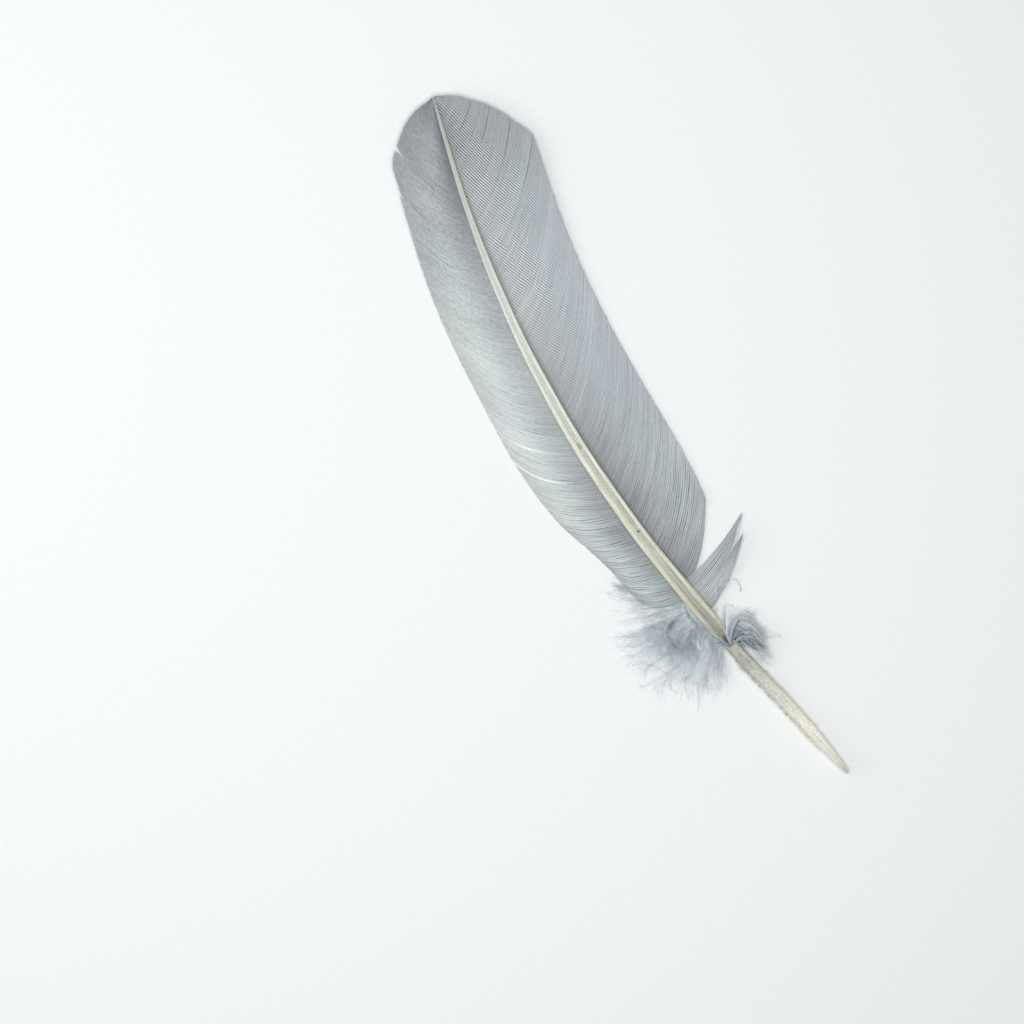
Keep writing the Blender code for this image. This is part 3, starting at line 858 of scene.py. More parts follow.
@dataclass(frozen=True)
class Shaft:
    """The bare quill and the grooved rachis that it runs into, rolled up from one grid."""

    lay: Lay
    finish: HornFinish
    # places (across, up) on the right half of a section, as shares of half width and height
    quill_half: tuple = ((0.28, 0.0), (0.72, 0.11), (0.95, 0.36), (0.99, 0.64), (0.88, 0.90), (0.58, 1.0))
    rachis_half: tuple = ((0.28, 0.0), (0.72, 0.11), (0.95, 0.36), (1.0, 0.68), (0.96, 0.92), (0.70, 1.01))
    crown: float = 1.0             # and the one in its middle, at the top
    squared_from: float = 60.0     # the quill's section turns to the rachis's from here
    squared_over: float = 15.0     # and over this length
    steps_between: int = 3         # points from one of those places to the next
    fine_step: float = 0.25        # of the grid at the rounded foot
    quill_step: float = 1.8
    pit_step: float = 0.45
    rachis_step: float = 2.0
    top_from: float = 0.55         # share of the height from which groove and pit may sink it
    top_over: float = 0.4
    groove: Law = Law(((61.5, 0.0), (63.5, 0.6), (68, 0.6), (80, 0.5), (100, 0.4), (140, 0.25), (200, 0.15),
                       (280, 0.0)))
    groove_half: float = 0.7       # share of the half width that the groove takes
    # depth of the pit where the groove begins, and how far the foot is rounded off
    pit: Law = Law(((61.6, 0.0), (62.3, 0.8), (63.5, 1.0), (67, 0.5), (73, 0.0)))
    foot_size: Law = Law(((0.0, 0.45), (0.25, 0.72), (0.8, 0.93), (1.6, 1.0)))

    def stations(self) -> np.ndarray:
        """Places along the shaft where its grid has a row: closer at the foot and at the pit."""
        stretches = [np.arange(0, 3, self.fine_step), np.arange(3, 56, self.quill_step),
                     np.arange(56, 76, self.pit_step), np.arange(76, LENGTH, self.rachis_step), [LENGTH]]
        return np.concatenate(stretches)

    def ring(self, half: tuple) -> np.ndarray:
        """Outline of a section as shares of half width and height, once round from the keel.

        Args:
            half: Places on its right half.

        Returns:
            Places as rows of (across, up); the last repeats the first.
        """
        right = list(half)
        left = [(-x, z) for x, z in reversed(right)]
        corners = np.array([(0.0, 0.0)] + right + [(0.0, self.crown)] + left)
        outline = []
        for i in range(len(corners)):
            before, a, b, after = [corners[(i + k) % len(corners)] for k in (-1, 0, 1, 2)]
            for step in range(self.steps_between):
                u = step / self.steps_between
                squares = (2 * before - 5 * a + 4 * b - after) * u * u
                bend = squares + (3 * a - before - 3 * b + after) * u ** 3
                outline.append(a + 0.5 * ((b - before) * u + bend))
        return np.array(outline + outline[:1])

    def build(self) -> bpy.types.Object:
        """Rolls the grid round the shaft's line and closes its ends.

        Returns:
            The finished piece.
        """
        along = self.stations()[:, None]
        squared = ease((along - self.squared_from) / self.squared_over)[..., None]
        ring = self.ring(self.quill_half) * (1 - squared) + self.ring(self.rachis_half) * squared
        x, z = ring[..., 0], np.clip(ring[..., 1], 0, None)
        size = self.foot_size.at(along)
        half = self.lay.width.at(along) / 2 * size
        height = self.lay.height.at(along)
        top = ease((z - self.top_from) / self.top_over)
        sunk = self.groove.at(along) * np.clip(1 - (x / self.groove_half) ** 2, 0, None) ** 2 * top
        sunk = sunk + self.pit.at(along) * np.clip(1 - x ** 2, 0, None) * top
        up = self.lay.keel(along) + height * (1 - size) / 2 + height * size * z - sunk
        points = self.lay.place(along, self.lay.line.at(along) + half * x, up)
        grain = np.stack(np.broadcast_arrays(x, along, z), axis=-1)
        piece = lay_grid("quill_shaft", points, {"grain": grain})
        bpy.ops.object.mode_set(mode="EDIT")
        bpy.context.tool_settings.mesh_select_mode = (True, False, False)
        bpy.ops.mesh.select_all(action="SELECT")
        bpy.ops.mesh.remove_doubles(threshold=0.001 * MM)
        bpy.ops.mesh.select_all(action="DESELECT")
        bpy.ops.mesh.select_non_manifold()
        bpy.ops.mesh.fill_holes(sides=0)
        bpy.ops.mesh.select_all(action="SELECT")
        bpy.ops.mesh.normals_make_consistent(inside=False)
        bpy.ops.object.mode_set(mode="OBJECT")
        return finish_piece(piece, self.finish.make(), Slot.SHAFT, "shaft", smooth_angle=50.0)


@dataclass(frozen=True)
class SheathFibres:
    """Dry scraps of the sheath that stand off the bare quill, most of them on the narrow vane's side."""

    lay: Lay
    finish: HornFinish
    count: int = 210
    # where along they sit in patches, and how far each patch spreads
    patches: tuple = ((14.5, 1.0), (18.5, 1.4), (22.5, 1.3), (27.0, 1.6), (29.5, 0.8), (33.5, 0.7),
                      (38.5, 1.6), (45.5, 2.0), (50.5, 1.8), (54.5, 1.5))
    narrow_side: float = 0.94      # share of them on the narrow vane's side
    length: tuple[float, float] = (0.3, 1.3)
    lifted: tuple[float, float] = (0.1, 1.15)      # how far their ends stand off
    low: tuple[float, float] = (0.5, 0.85)         # shares of the quill's height where they sit
    rise: float = 0.4              # how far a fibre's end rises, as a share of how far it stands off
    grain_place: tuple[float, float] = (0.8, 0.9)  # where across and up it reads its finish
    width: float = 0.24
    thickness: float = 0.04
    stations: int = 4
    seed: int = 21

    def build(self) -> bpy.types.Object:
        """Lays the fibres along the quill's sides, their ends free.

        Returns:
            The finished piece.
        """
        rng = np.random.default_rng(self.seed)
        middle, spread = np.array(self.patches)[rng.integers(0, len(self.patches), self.count)].T
        root = (middle + spread * rng.normal(size=self.count))[:, None]
        side = np.where(rng.uniform(size=(self.count, 1)) < self.narrow_side, -1.0, 1.0)
        size = rng.uniform(*self.length, (self.count, 1))
        u = np.linspace(0, 1, self.stations)[None, :]
        along = root + size * u * rng.choice([-1.0, 1.0], (self.count, 1))
        lifted = rng.uniform(*self.lifted, (self.count, 1)) * u
        half = self.lay.width.at(root) / 2 * (0.90 + 0.10 * rng.uniform(size=root.shape))
        across = self.lay.line.at(along) + side * (half + lifted)
        height = self.lay.height.at(root) * rng.uniform(*self.low, (self.count, 1))
        up = self.lay.keel(along) + height + self.rise * lifted
        across_points = np.stack([across - self.width / 2, across + self.width / 2], axis=1)
        points = self.lay.place(along[:, None, :], across_points, up[:, None, :])
        far_across, far_up = self.grain_place
        along_points = along[:, None, :] + 0 * across_points
        grain = np.stack(np.broadcast_arrays(far_across, along_points, far_up), axis=-1)
        piece = make_ribbons("quill_sheath_fibres", points, self.thickness * MM, {"grain": grain})
        return finish_piece(piece, self.finish.make(), Slot.SHAFT)


@dataclass(frozen=True)
class Split:
    """A place where neighbouring barbs have come apart."""

    root: float                    # along
    start: float                   # share of the way out where it opens
    end: float                     # where it closes; 1 or more leaves it open at the edge
    width: float
    depth: float = 1.0             # how dark the painted shadow in the line between the two is; below 0, how pale its painted highlight


@dataclass(frozen=True)
class Vane:
    """A sheet of barbs on one side of the shaft, each barb a thin roofed ribbon.

    A barb is (along at its root, along and across at its tip). A stretch is a run of barbs with a
    smooth edge; where two stretches meet, the vane is open from a share of the way out.
    """

    name: str
    node: str
    lay: Lay
    finish: VaneFinish
    side: Side
    bow: tuple[tuple[float, float], tuple[float, float]]   # handles of a barb's curve, along and across
    stretches: tuple
    open_from: tuple
    seed: int
    lift: float = 0.0              # how far its free edge stands up all along
    splits: tuple[Split, ...] = ()
    frayed: tuple = ()             # (from, to, spacing, width) of stretches with many fine splits
    pitch: float = 0.87
    stations: int = 12
    overlap: float = 0.05          # how far a ribbon reaches under the next one, as a share of the pitch
    roof: float = 0.09             # height of a barb's middle above its borders
    tilt: float = 0.05             # how much a barb's one border lies higher than the other
    thickness: float = 0.07
    hover: float = 0.22            # of the ribbons above the underside of the CAD's plate
    attach: float = 0.24           # share of the shaft's height where the barbs leave it
    touch: float = 0.62            # share of the way out where they come down to the table
    edge_rise: float = 0.9         # how far they rise again to the free edge
    base_lift: float = 1.7         # how far the edge stands up near the foot of the vane
    base_lift_length: float = 40.0     # and over what length
    ruffled: float = 1.0           # how much the barbs crowd and spread near the foot of the feather
    crowds: tuple = ((3.1, 0.10), (5.3, 0.18), (9.7, 0.30))    # over what lengths, and how far
    calm_from: float = 95.0        # they lie calmer from here
    calm_over: float = 55.0        # and over this length
    calm: float = 0.8              # how much of the crowding goes
    barb_wave: float = 0.10        # how far a single barb strays, as a share of the pitch
    pull: float = 3.0              # how far from a split the barbs are drawn to its sides
    tapered: float = 0.03          # share of a barb that narrows to its point
    tip_stations: tuple[float, ...] = (0.93, 0.97, 0.99, 1.0)  # the last stations of a barb
    unlike: float = 0.003          # how much barbs differ in length
    ruffle: tuple[float, float] = (0.10, 0.02)     # how far bundles and single barbs lie up or down
    toned: tuple[float, float] = (0.7, 0.6)        # how far bundles and single barbs differ in tone
    root_inset: float = 0.35       # how deep a barb's root sits in the shaft
    lowest: float = 0.09           # nothing of a barb's upper face lies lower

    def underside(self, along: np.ndarray, share: np.ndarray, root: np.ndarray) -> np.ndarray:
        """Height of the vane: down from the shaft to the table, then up to the free edge.

        Args:
            along: Where each point lies.
            share: Share of the way out of each point.
            root: Root that each point belongs to.

        Returns:
            The heights.
        """
        slope = np.clip(1 - share / self.touch, 0, None) ** 2
        height = self.lay.keel(along) + self.attach * self.lay.height.at(root) * slope
        height += self.edge_rise * np.clip((share - self.touch) / (1 - self.touch), 0, None) ** 2
        loose = np.clip((self.lay.rest_start - along) / self.base_lift_length, 0, 1)
        return height + self.base_lift * loose ** 2 * share + self.lift * share ** 2

    def all_splits(self, rng: np.random.Generator) -> list[Split]:
        """The given splits, and the random fine ones of the frayed stretches.

        Args:
            rng: Source of the random numbers.

        Returns:
            All of them.
        """
        found = list(self.splits)
        for first, last, spacing, width in self.frayed:
            root = first
            while root < last:
                start = rng.uniform(-0.1, 0.12)
                # each fine split gets a painted shadow of random depth
                found.append(Split(root, start, rng.uniform(0.6, 1.15), width * rng.uniform(0.5, 1.3),
                                   rng.uniform(0.3, 1.0)))
                root += spacing * rng.uniform(0.5, 1.5)
        return found

    def crowd(self, root: np.ndarray, roots: np.ndarray, share: np.ndarray,
              rng: np.random.Generator) -> np.ndarray:
        """Lets the barbs crowd and spread, most near the foot of the feather.

        Args:
            root: Root that each point belongs to.
            roots: The barbs' own roots.
            share: Share of the way out of each point.
            rng: Source of the random numbers.

        Returns:
            The moved roots.
        """
        loose = self.ruffled * (1 - self.calm * ease((roots - self.calm_from) / self.calm_over))
        for reach, size in self.crowds:
            turns = root / reach + rng.uniform(-1.6, 1.6) * share + rng.uniform(0, 1)
            root = root + size * loose * np.sin(math.tau * turns) * ease(share / 0.15)
        return root

    def open_splits(self, root: np.ndarray, roots: np.ndarray, share: np.ndarray, offsets: np.ndarray,
                    splits: list[Split], pitch: float) -> tuple[np.ndarray, np.ndarray]:
        """Draws the barbs apart at the splits.

        Args:
            root: Root that each point belongs to.
            roots: The barbs' own roots.
            share: Share of the way out of each point.
            offsets: Lines of a ribbon, in barbs from its middle.
            splits: Where barbs have come apart.
            pitch: From barb to barb.

        Returns:
            The moved roots, and the painted shadow (above 0) or painted highlight (below 0) of each point
            that faces a split.
        """
        seam = np.zeros_like(root)
        for split in splits:
            opening = ease((share - split.start) / max(0.15, (split.end - split.start) / 2))
            if split.end < 1.0:
                opening = opening * ease((split.end - share) / ((split.end - split.start) / 2))
            away = roots - split.root
            root = root + np.sign(away) * split.width / 2 * opening * np.exp(-np.abs(away) / self.pull)
            beside = np.abs(away) <= 0.51 * pitch      # a hair over half, so that both barbs are found
            facing = beside & (np.sign(away) != np.sign(offsets)) & (np.abs(offsets) > 0.4)
            mark = split.depth * opening * facing
            seam = np.where(np.abs(mark) > np.abs(seam), mark, seam)
        return root, seam

    def tips(self, number: int, root: np.ndarray, roots: np.ndarray, share: np.ndarray) -> np.ndarray:
        """Ends of the barbs of a stretch, drawn to its neighbours' where the two hold together.

        Args:
            number: Which stretch.
            root: Root that each point belongs to.
            roots: The barbs' own roots.
            share: Share of the way out of each point.

        Returns:
            Along and across of the end that each point's way leads to.
        """
        stretch = self.stretches[number]
        tip = np.stack([Law(tuple((barb[0], barb[k]) for barb in stretch)).at(root) for k in (1, 2)])
        for own, other, shut in self.neighbours(number):
            away = np.abs(roots - own[0])
            closing = (1 - ease((share - shut) / max(0.05, 1 - shut))) * np.exp(-away / self.pull)
            for k in (1, 2):
                tip[k - 1] = tip[k - 1] + (other[k] - own[k]) / 2 * closing
        return tip

    def stretch_points(self, number: int, rng: np.random.Generator, splits: list[Split],
                       count_before: int) -> tuple[np.ndarray, np.ndarray, np.ndarray]:
        """Ribbons of one stretch.

        Args:
            number: Which stretch.
            rng: Source of the random numbers.
            splits: Where barbs have come apart.
            count_before: Barbs in the stretches before it.

        Returns:
            Positions, and the attributes lay and weave, by barb, line across it and station.
        """
        first, last = self.stretches[number][0][0], self.stretches[number][-1][0]
        count = max(2, round((last - first) / self.pitch))
        pitch = (last - first) / count
        roots = (first + pitch * (np.arange(count) + 0.5))[:, None, None]
        offsets = np.array([-0.5 - self.overlap, 0.0, 0.5 + self.overlap])[None, :, None]
        even = np.linspace(0, self.tip_stations[0], self.stations - len(self.tip_stations) + 1)
        share = np.concatenate([even, self.tip_stations[1:]])
        narrow = np.clip((1 - share) / self.tapered, 0.0, 1.0) ** 0.5
        share = share[None, None, :] * (1 + self.unlike * rng.normal(size=(count, 1, 1)))
        offset = offsets * narrow[None, None, :]

        waves = rng.uniform(0.5, 1.6, (count, 1, 1)) * share + rng.uniform(0, 1, (count, 1, 1))
        root = roots + pitch * (offset + self.barb_wave * share * np.sin(math.tau * waves))
        root = self.crowd(root, roots, share, rng)
        root, seam = self.open_splits(root, roots, share, offsets, splits, pitch)
        root = np.clip(root, first, last)

        tip = self.tips(number, root, roots, share)
        start = self.lay.edge(root, self.side, self.root_inset)
        along = bent_line(root, tip[0], self.bow[0], share)
        across = bent_line(start, tip[1], self.bow[1], share)

        bundled, single = self.ruffle
        ruffle = drift(rng, count, 5)[:, None, None] * bundled + rng.normal(size=(count, 1, 1)) * single
        ruffle = ruffle * np.sin(math.pi * np.clip(share, 0, 1))
        up = self.underside(along, share, root) + self.hover + ruffle
        up = up + self.roof * (1 - 2 * np.abs(offsets)) * narrow[None, None, :] + self.tilt * offset
        up = np.maximum(up, self.lowest)
        points = self.lay.place(along, across, up)

        steps = np.hypot(np.diff(along, axis=2), np.diff(across, axis=2))
        reach = np.concatenate([np.zeros_like(steps[:, :, :1]), np.cumsum(steps, axis=2)], axis=2)
        bundled, single = self.toned
        tone = (bundled * drift(rng, count, 4) + single * rng.normal(size=count))[:, None, None]
        barb = np.arange(count)[:, None, None] + count_before + offset
        lay = np.stack(np.broadcast_arrays(along / self.lay.length, share, tone), axis=-1)
        weave = np.stack(np.broadcast_arrays(reach, barb, seam), axis=-1)
        return points, lay, weave

    def neighbours(self, number: int) -> list[tuple]:
        """Where a stretch meets others.

        Args:
            number: Which stretch.

        Returns:
            Its own end barb, the other stretch's, and the share up to which the two hold together.
        """
        own = self.stretches[number]
        met = []
        if number > 0:
            met.append((own[0], self.stretches[number - 1][-1], self.open_from[number - 1]))
        if number < len(self.stretches) - 1:
            met.append((own[-1], self.stretches[number + 1][0], self.open_from[number]))
        return met

    def build(self) -> bpy.types.Object:
        """Builds all barbs of the vane.

        Returns:
            The finished piece.
        """
        rng = np.random.default_rng(self.seed)
        splits = self.all_splits(rng)
        blocks = []
        for number in range(len(self.stretches)):
            blocks.append(self.stretch_points(number, rng, splits, sum(len(b[0]) for b in blocks)))
        points, lay, weave = [np.concatenate(parts) for parts in zip(*blocks)]
        if self.side is Side.NARROW:
            points, lay, weave = points[::-1, ::-1], lay[::-1, ::-1], weave[::-1, ::-1]
        piece = make_ribbons(self.name, points, self.thickness * MM, {"lay": lay, "weave": weave})
        nodes = [self.node] if self.node else []
        return finish_piece(piece, self.finish.make(), self.finish.slot, *nodes)


@dataclass(frozen=True)
class Lock:
    """A bundle of down barbs that run side by side."""

    line: tuple                    # places (along, across, up) from its root to its end
    count: int                     # barbs
    spread: tuple[float, float]    # how far they lie apart, at the root and at the end
    hairs: int = 40                # barbules on a barb
    hair: float = 2.4              # their length
    tone: float = 0.0              # how much lighter or darker than its finish
    shortest: float = 0.6          # share of the line that the shortest barb takes
    width: float = 0.07            # of a barb
    bare: float = 0.04             # share of a barb that carries no barbules, at its root
    lean: tuple[float, float] = (0.35, 1.15)       # angles at which the barbules leave it, radians
    frizz: float = 0.3             # how much they bend
    mixed: float = 0.4             # how much every other barb is lighter, and the others darker
    even: float = 0.0              # 0: its barbs lie at random, 1: evenly side by side

    def at(self, share: np.ndarray) -> np.ndarray:
        """Place on its line.

        Args:
            share: How far along the line, from 0 to 1.

        Returns:
            Along, across and up as a new last axis.
        """
        places = np.array(self.line, float)
        steps = np.cumsum(np.linalg.norm(np.diff(places, axis=0), axis=1))
        steps = np.concatenate([[0.0], steps / steps[-1]])
        return np.stack([Law(tuple(zip(steps, places[:, k]))).at(share) for k in range(3)], axis=-1)


@dataclass(frozen=True)
class Down:
    """Down: thin bent barbs that carry hair-fine barbules all along."""

    name: str
    nodes: tuple[str, ...]
    lay: Lay
    finish: DownFinish
    locks: tuple[Lock, ...]
    seed: int
    stations: int = 12             # along a barb
    hair_stations: int = 4
    hair_width: float = 0.024
    thickness: float = 0.022
    wander: float = 0.8            # how far a barb strays from its lock's line
    varied: float = 0.5            # how much the barbs differ in tone
    tones: tuple[float, float] = (-2.8, 3.2)       # the darkest and the palest
    barb_taper: float = 0.75       # how much of its width a barb loses towards its end
    hair_taper: float = 0.7
    step: float = 0.02             # share of a lock over which its heading is taken
    lowest: float = 0.12
    highest: float = 10.9
    farthest: float = -53.4        # across; no strand reaches farther on the narrow vane's side

    def strands(self, centre: np.ndarray, width: np.ndarray, roll: np.ndarray, tone: np.ndarray,
                share: np.ndarray) -> tuple[np.ndarray, np.ndarray]:
        """Flat ribbons along centre lines.

        Args:
            centre: Places on the feather by strand, station, and along, across, up.
            width: Width at each station.
            roll: Turn of each strand's flat side about its line.
            tone: Lighter or darker, for each strand.
            share: Place along the barb, for its colour.

        Returns:
            Scene positions and the attribute strand.
        """
        heading = unit(np.gradient(centre, axis=1))
        level = unit(np.cross(heading, UP))
        upright = np.cross(level, heading)
        sideways = level * np.cos(roll)[:, None, None] + upright * np.sin(roll)[:, None, None]
        half = sideways * (width / 2)[..., None]
        both = np.stack([centre - half, centre + half], axis=1)
        both[..., 1] = np.maximum(both[..., 1], self.farthest)
        both[..., 2] = np.clip(both[..., 2], self.lowest, self.highest)
        points = self.lay.place(both[..., 0], both[..., 1], both[..., 2])
        tone = np.clip(tone, *self.tones)[:, None, None]
        fact = np.stack(np.broadcast_arrays(share[:, None, :], tone, 0.0), axis=-1)
        return points, np.broadcast_to(fact, points.shape)

    def grow(self, lock: Lock, rng: np.random.Generator) -> tuple[tuple, tuple]:
        """Grows one lock.

        Args:
            lock: What to grow.
            rng: Source of the random numbers.

        Returns:
            Positions and facts of its barbs, and the same of their barbules.
        """
        count = lock.count
        reach = rng.uniform(lock.shortest, 1.0, (count, 1))
        aside = np.clip(rng.normal(size=(count, 1, 1)), -1.8, 1.8) * 0.6 * (1 - lock.even)
        aside = aside + np.linspace(-1, 1, count)[:, None, None] * lock.even
        swing = rng.normal(size=(count, 1, 3)) * self.wander * np.array([1.0, 1.0, 0.5])
        sway = rng.uniform(0.5, 1.4, (count, 1, 1))
        start = rng.uniform(0, 1, (count, 1, 1))

        def path(share: np.ndarray) -> np.ndarray:
            """Places on every barb.

            Args:
                share: Shares of the barbs' lengths.

            Returns:
                Along, across and up as a new last axis.
            """
            place = lock.at(share * reach)
            heading = lock.at(share * reach + self.step) - lock.at(share * reach - self.step)
            level = unit(np.stack([-heading[..., 1], heading[..., 0], 0 * heading[..., 0]], axis=-1))
            u = (share * reach)[..., None]
            stray = u * np.sin(math.tau * (sway * u + start))
            spread = lock.spread[0] + (lock.spread[1] - lock.spread[0]) * u
            return place + level * aside * spread + swing * stray

        along_barb = np.broadcast_to(np.linspace(0, 1, self.stations), (count, self.stations))
        tone = lock.tone + rng.normal(size=count) * self.varied
        tone = tone + lock.mixed * np.where(np.arange(count) % 2, 1.0, -1.0)
        barbs = self.strands(path(along_barb), lock.width * (1 - self.barb_taper * along_barb),
                             rng.uniform(-1, 1, count), tone, along_barb)

        number = count * lock.hairs
        where = lock.bare + (1 - lock.bare) * rng.uniform(0, 1, (count, lock.hairs)) ** 0.7
        base = path(where)
        heading = unit(path(where + self.step) - path(where - self.step))
        level = unit(np.cross(heading, UP))
        upright = np.cross(level, heading)
        turn = rng.normal(size=where.shape) * 0.6 + rng.integers(0, 2, where.shape) * math.pi
        lean = rng.uniform(*lock.lean, where.shape)
        out = level * np.cos(turn)[..., None] + upright * np.sin(turn)[..., None]
        direction = heading * np.cos(lean)[..., None] + out * np.sin(lean)[..., None]
        curl = heading * lock.frizz + rng.normal(size=base.shape) * lock.frizz
        size = lock.hair * (1 - 0.2 * where) * rng.uniform(0.4, 1.3, where.shape)
        u = np.linspace(0, 1, self.hair_stations)[None, :, None]
        base, direction, curl = [part.reshape(number, 1, 3) for part in (base, direction, curl)]
        centre = base + size.reshape(number, 1, 1) * (direction * u + curl * u * u)
        width = np.broadcast_to(self.hair_width * (1 - self.hair_taper * u[..., 0]), centre.shape[:2])
        tone = np.repeat(tone, lock.hairs) + rng.normal(size=number) * self.varied
        share = np.broadcast_to(where.reshape(number, 1), centre.shape[:2])
        return barbs, self.strands(centre, width, rng.uniform(-1.2, 1.2, number), tone, share)

    def build(self) -> bpy.types.Object:
        """Grows all locks into one piece.

        Returns:
            The finished piece.
        """
        rng = np.random.default_rng(self.seed)
        grown = [self.grow(lock, rng) for lock in self.locks]
        pieces = []
        for kind in range(2):
            points, facts = [np.concatenate(parts) for parts in zip(*(both[kind] for both in grown))]
            if len(points):
                pieces.append(make_ribbons(self.name, points, self.thickness * MM, {"strand": facts}))
        return finish_piece(join_pieces(self.name, pieces), self.finish.make(), Slot.DOWN, *self.nodes)


@dataclass(frozen=True)
class Softbox:
    """A square soft light that points at the middle of the photo."""

    name: str
    power: float
    size: float
    offset: tuple[float, float, float]     # photo right, photo up, up, metres


@dataclass(frozen=True)
class Studio:
    """Pale card, a soft light overhead, a weak one from the photo's left, and the camera straight above."""

    card: CardFinish
    middle: tuple[float, float] = (-41.5, 0.6)     # scene place of the photo's centre, mm
    field: float = 375.8                           # width that the photo shows, mm
    roll: float = -31.6                            # turn of the camera about the vertical, degrees
    lens: float = 200.0
    sensor: float = 36.0
    card_size: float = 8.0
    lights: tuple[Softbox, ...] = (Softbox("overhead_softbox", 8.0, 0.4, (-0.02, 0.03, 1.10)),
                                   Softbox("side_softbox", 3.2, 0.9, (-0.70, 0.16, 0.50)))
    fill_strength: float = 0.24
    fill_colour: tuple[float, float, float, float] = (0.96, 0.98, 1.0, 1.0)    # linear

    def add_card(self) -> None:
        """Lays the card; its top is the table at height 0."""
        bpy.ops.object.select_all(action="DESELECT")
        bpy.ops.mesh.primitive_plane_add(size=self.card_size)
        card = bpy.context.object
        card.name = "table_card"
        card.data.materials.append(self.card.make())

    def photo_axes(self) -> tuple[np.ndarray, np.ndarray]:
        """The photo's right and up directions in the scene."""
        angle = math.radians(self.roll)
        return (np.array([math.cos(angle), math.sin(angle), 0.0]),
                np.array([-math.sin(angle), math.cos(angle), 0.0]))

    def add_lights(self) -> None:
        """Adds the soft lights and the even fill of a white room."""
        right, up = self.photo_axes()
        middle = np.array([self.middle[0] * MM, self.middle[1] * MM, 0.0])
        for box in self.lights:
            place = middle + right * box.offset[0] + up * box.offset[1]
            place[2] = box.offset[2]
            lamp = bpy.data.lights.new(box.name, "AREA")
            lamp.shape = "SQUARE"
            lamp.size = box.size
            lamp.energy = box.power
            holder = bpy.data.objects.new(box.name, lamp)
            bpy.context.scene.collection.objects.link(holder)
            holder.location = place
            aim = middle - place
            holder.rotation_euler = (math.atan2(math.hypot(aim[0], aim[1]), -aim[2]), 0.0,
                                     math.atan2(aim[1], aim[0]) - math.pi / 2)
        world = bpy.data.worlds.new("white_room")
        world.use_nodes = True
        fill = world.node_tree.nodes["Background"]
        fill.inputs["Color"].default_value = self.fill_colour
        fill.inputs["Strength"].default_value = self.fill_strength
        bpy.context.scene.world = world

    def add_camera(self) -> None:
        """Adds the camera straight above the photo's centre, turned as the photo is."""
        data = bpy.data.cameras.new("overhead")
        data.lens = self.lens
        data.sensor_width = self.sensor
        camera = bpy.data.objects.new("overhead", data)
        bpy.context.scene.collection.objects.link(camera)
        distance = self.field * MM * self.lens / self.sensor
        camera.location = (self.middle[0] * MM, self.middle[1] * MM, distance)
        camera.rotation_euler = (0.0, 0.0, math.radians(self.roll))
        bpy.context.scene.camera = camera
        bpy.context.scene.view_settings.view_transform = "Standard"

    def build(self) -> None:
        """Sets up the card, the light and the camera."""
        self.add_card()
        self.add_lights()
        self.add_camera()


WIDE_CORNER = (259.6, 23.9)        # sharp corner of the wide vane: along, across

WIDE_FINISH = VaneFinish(
    "dyed_wide_vane_barbs", Slot.WIDE_VANE,
    shaft_stops=((0.3, "#8e9395"), (0.36, "#9ea2a6"), (0.43, "#999da1"), (0.6, "#a9adb0"), (0.72, "#babebf"),
                 (0.83, "#b5b9bb"), (0.88, "#acb0b3"), (0.93, "#999b9e"), (1.0, "#8a8c90")),
    edge_stops=((0.3, "#afb9bb"), (0.45, "#b5bdc0"), (0.6, "#b2bbc0"), (0.75, "#b8c1c5"), (0.85, "#b1b9bd"),
                (0.93, "#a2a7ab"), (1.0, "#a2a6aa")),
    # a deeper painted shadow in the crease beside the shaft, and along the barbs' borders
    root=0.55, gap_shadow=0.68)

NARROW_FINISH = VaneFinish(
    "dyed_narrow_vane_barbs", Slot.NARROW_VANE,
    shaft_stops=((0.3, "#98a2a3"), (0.38, "#949c9e"), (0.45, "#999fa2"), (0.6, "#aab2b4"), (0.75, "#9fa7aa"),
                 (0.83, "#8e9397"), (0.9, "#707378"), (1.0, "#54575d")),
    edge_stops=((0.3, "#b9c4c6"), (0.38, "#c0cacb"), (0.45, "#ced6d5"), (0.6, "#d3d9d9"), (0.75, "#c8d0cf"),
                (0.83, "#b5bcbf"), (0.89, "#b2b8bc"), (0.95, "#a1a5a9"), (1.0, "#8e9196")),
    hatch=0.08, mottle=0.17)

LOBE_FINISH = VaneFinish(
    "dyed_lobe_barbs", Slot.WIDE_VANE,
    shaft_stops=((0.26, "#b0b8bb"), (0.29, "#cfd7db"), (0.31, "#b0b8bc"), (0.35, "#c2cacd")),
    edge_stops=((0.26, "#cad0d3"), (0.29, "#d7dde0"), (0.32, "#c2cbce"), (0.35, "#cdd5d6")),
    gap_shadow=1.0, groups=0.05, fading=0.3)

WEB_FINISH = VaneFinish(
    "dyed_down_web", Slot.DOWN,
    shaft_stops=((0.24, "#d0d9de"), (0.29, "#d4dde1")),
    edge_stops=((0.24, "#c8d1d6"), (0.26, "#ccd5da"), (0.275, "#a2abb0"), (0.29, "#bcc5c9")),
    gap_shadow=0.4, groups=0.12)


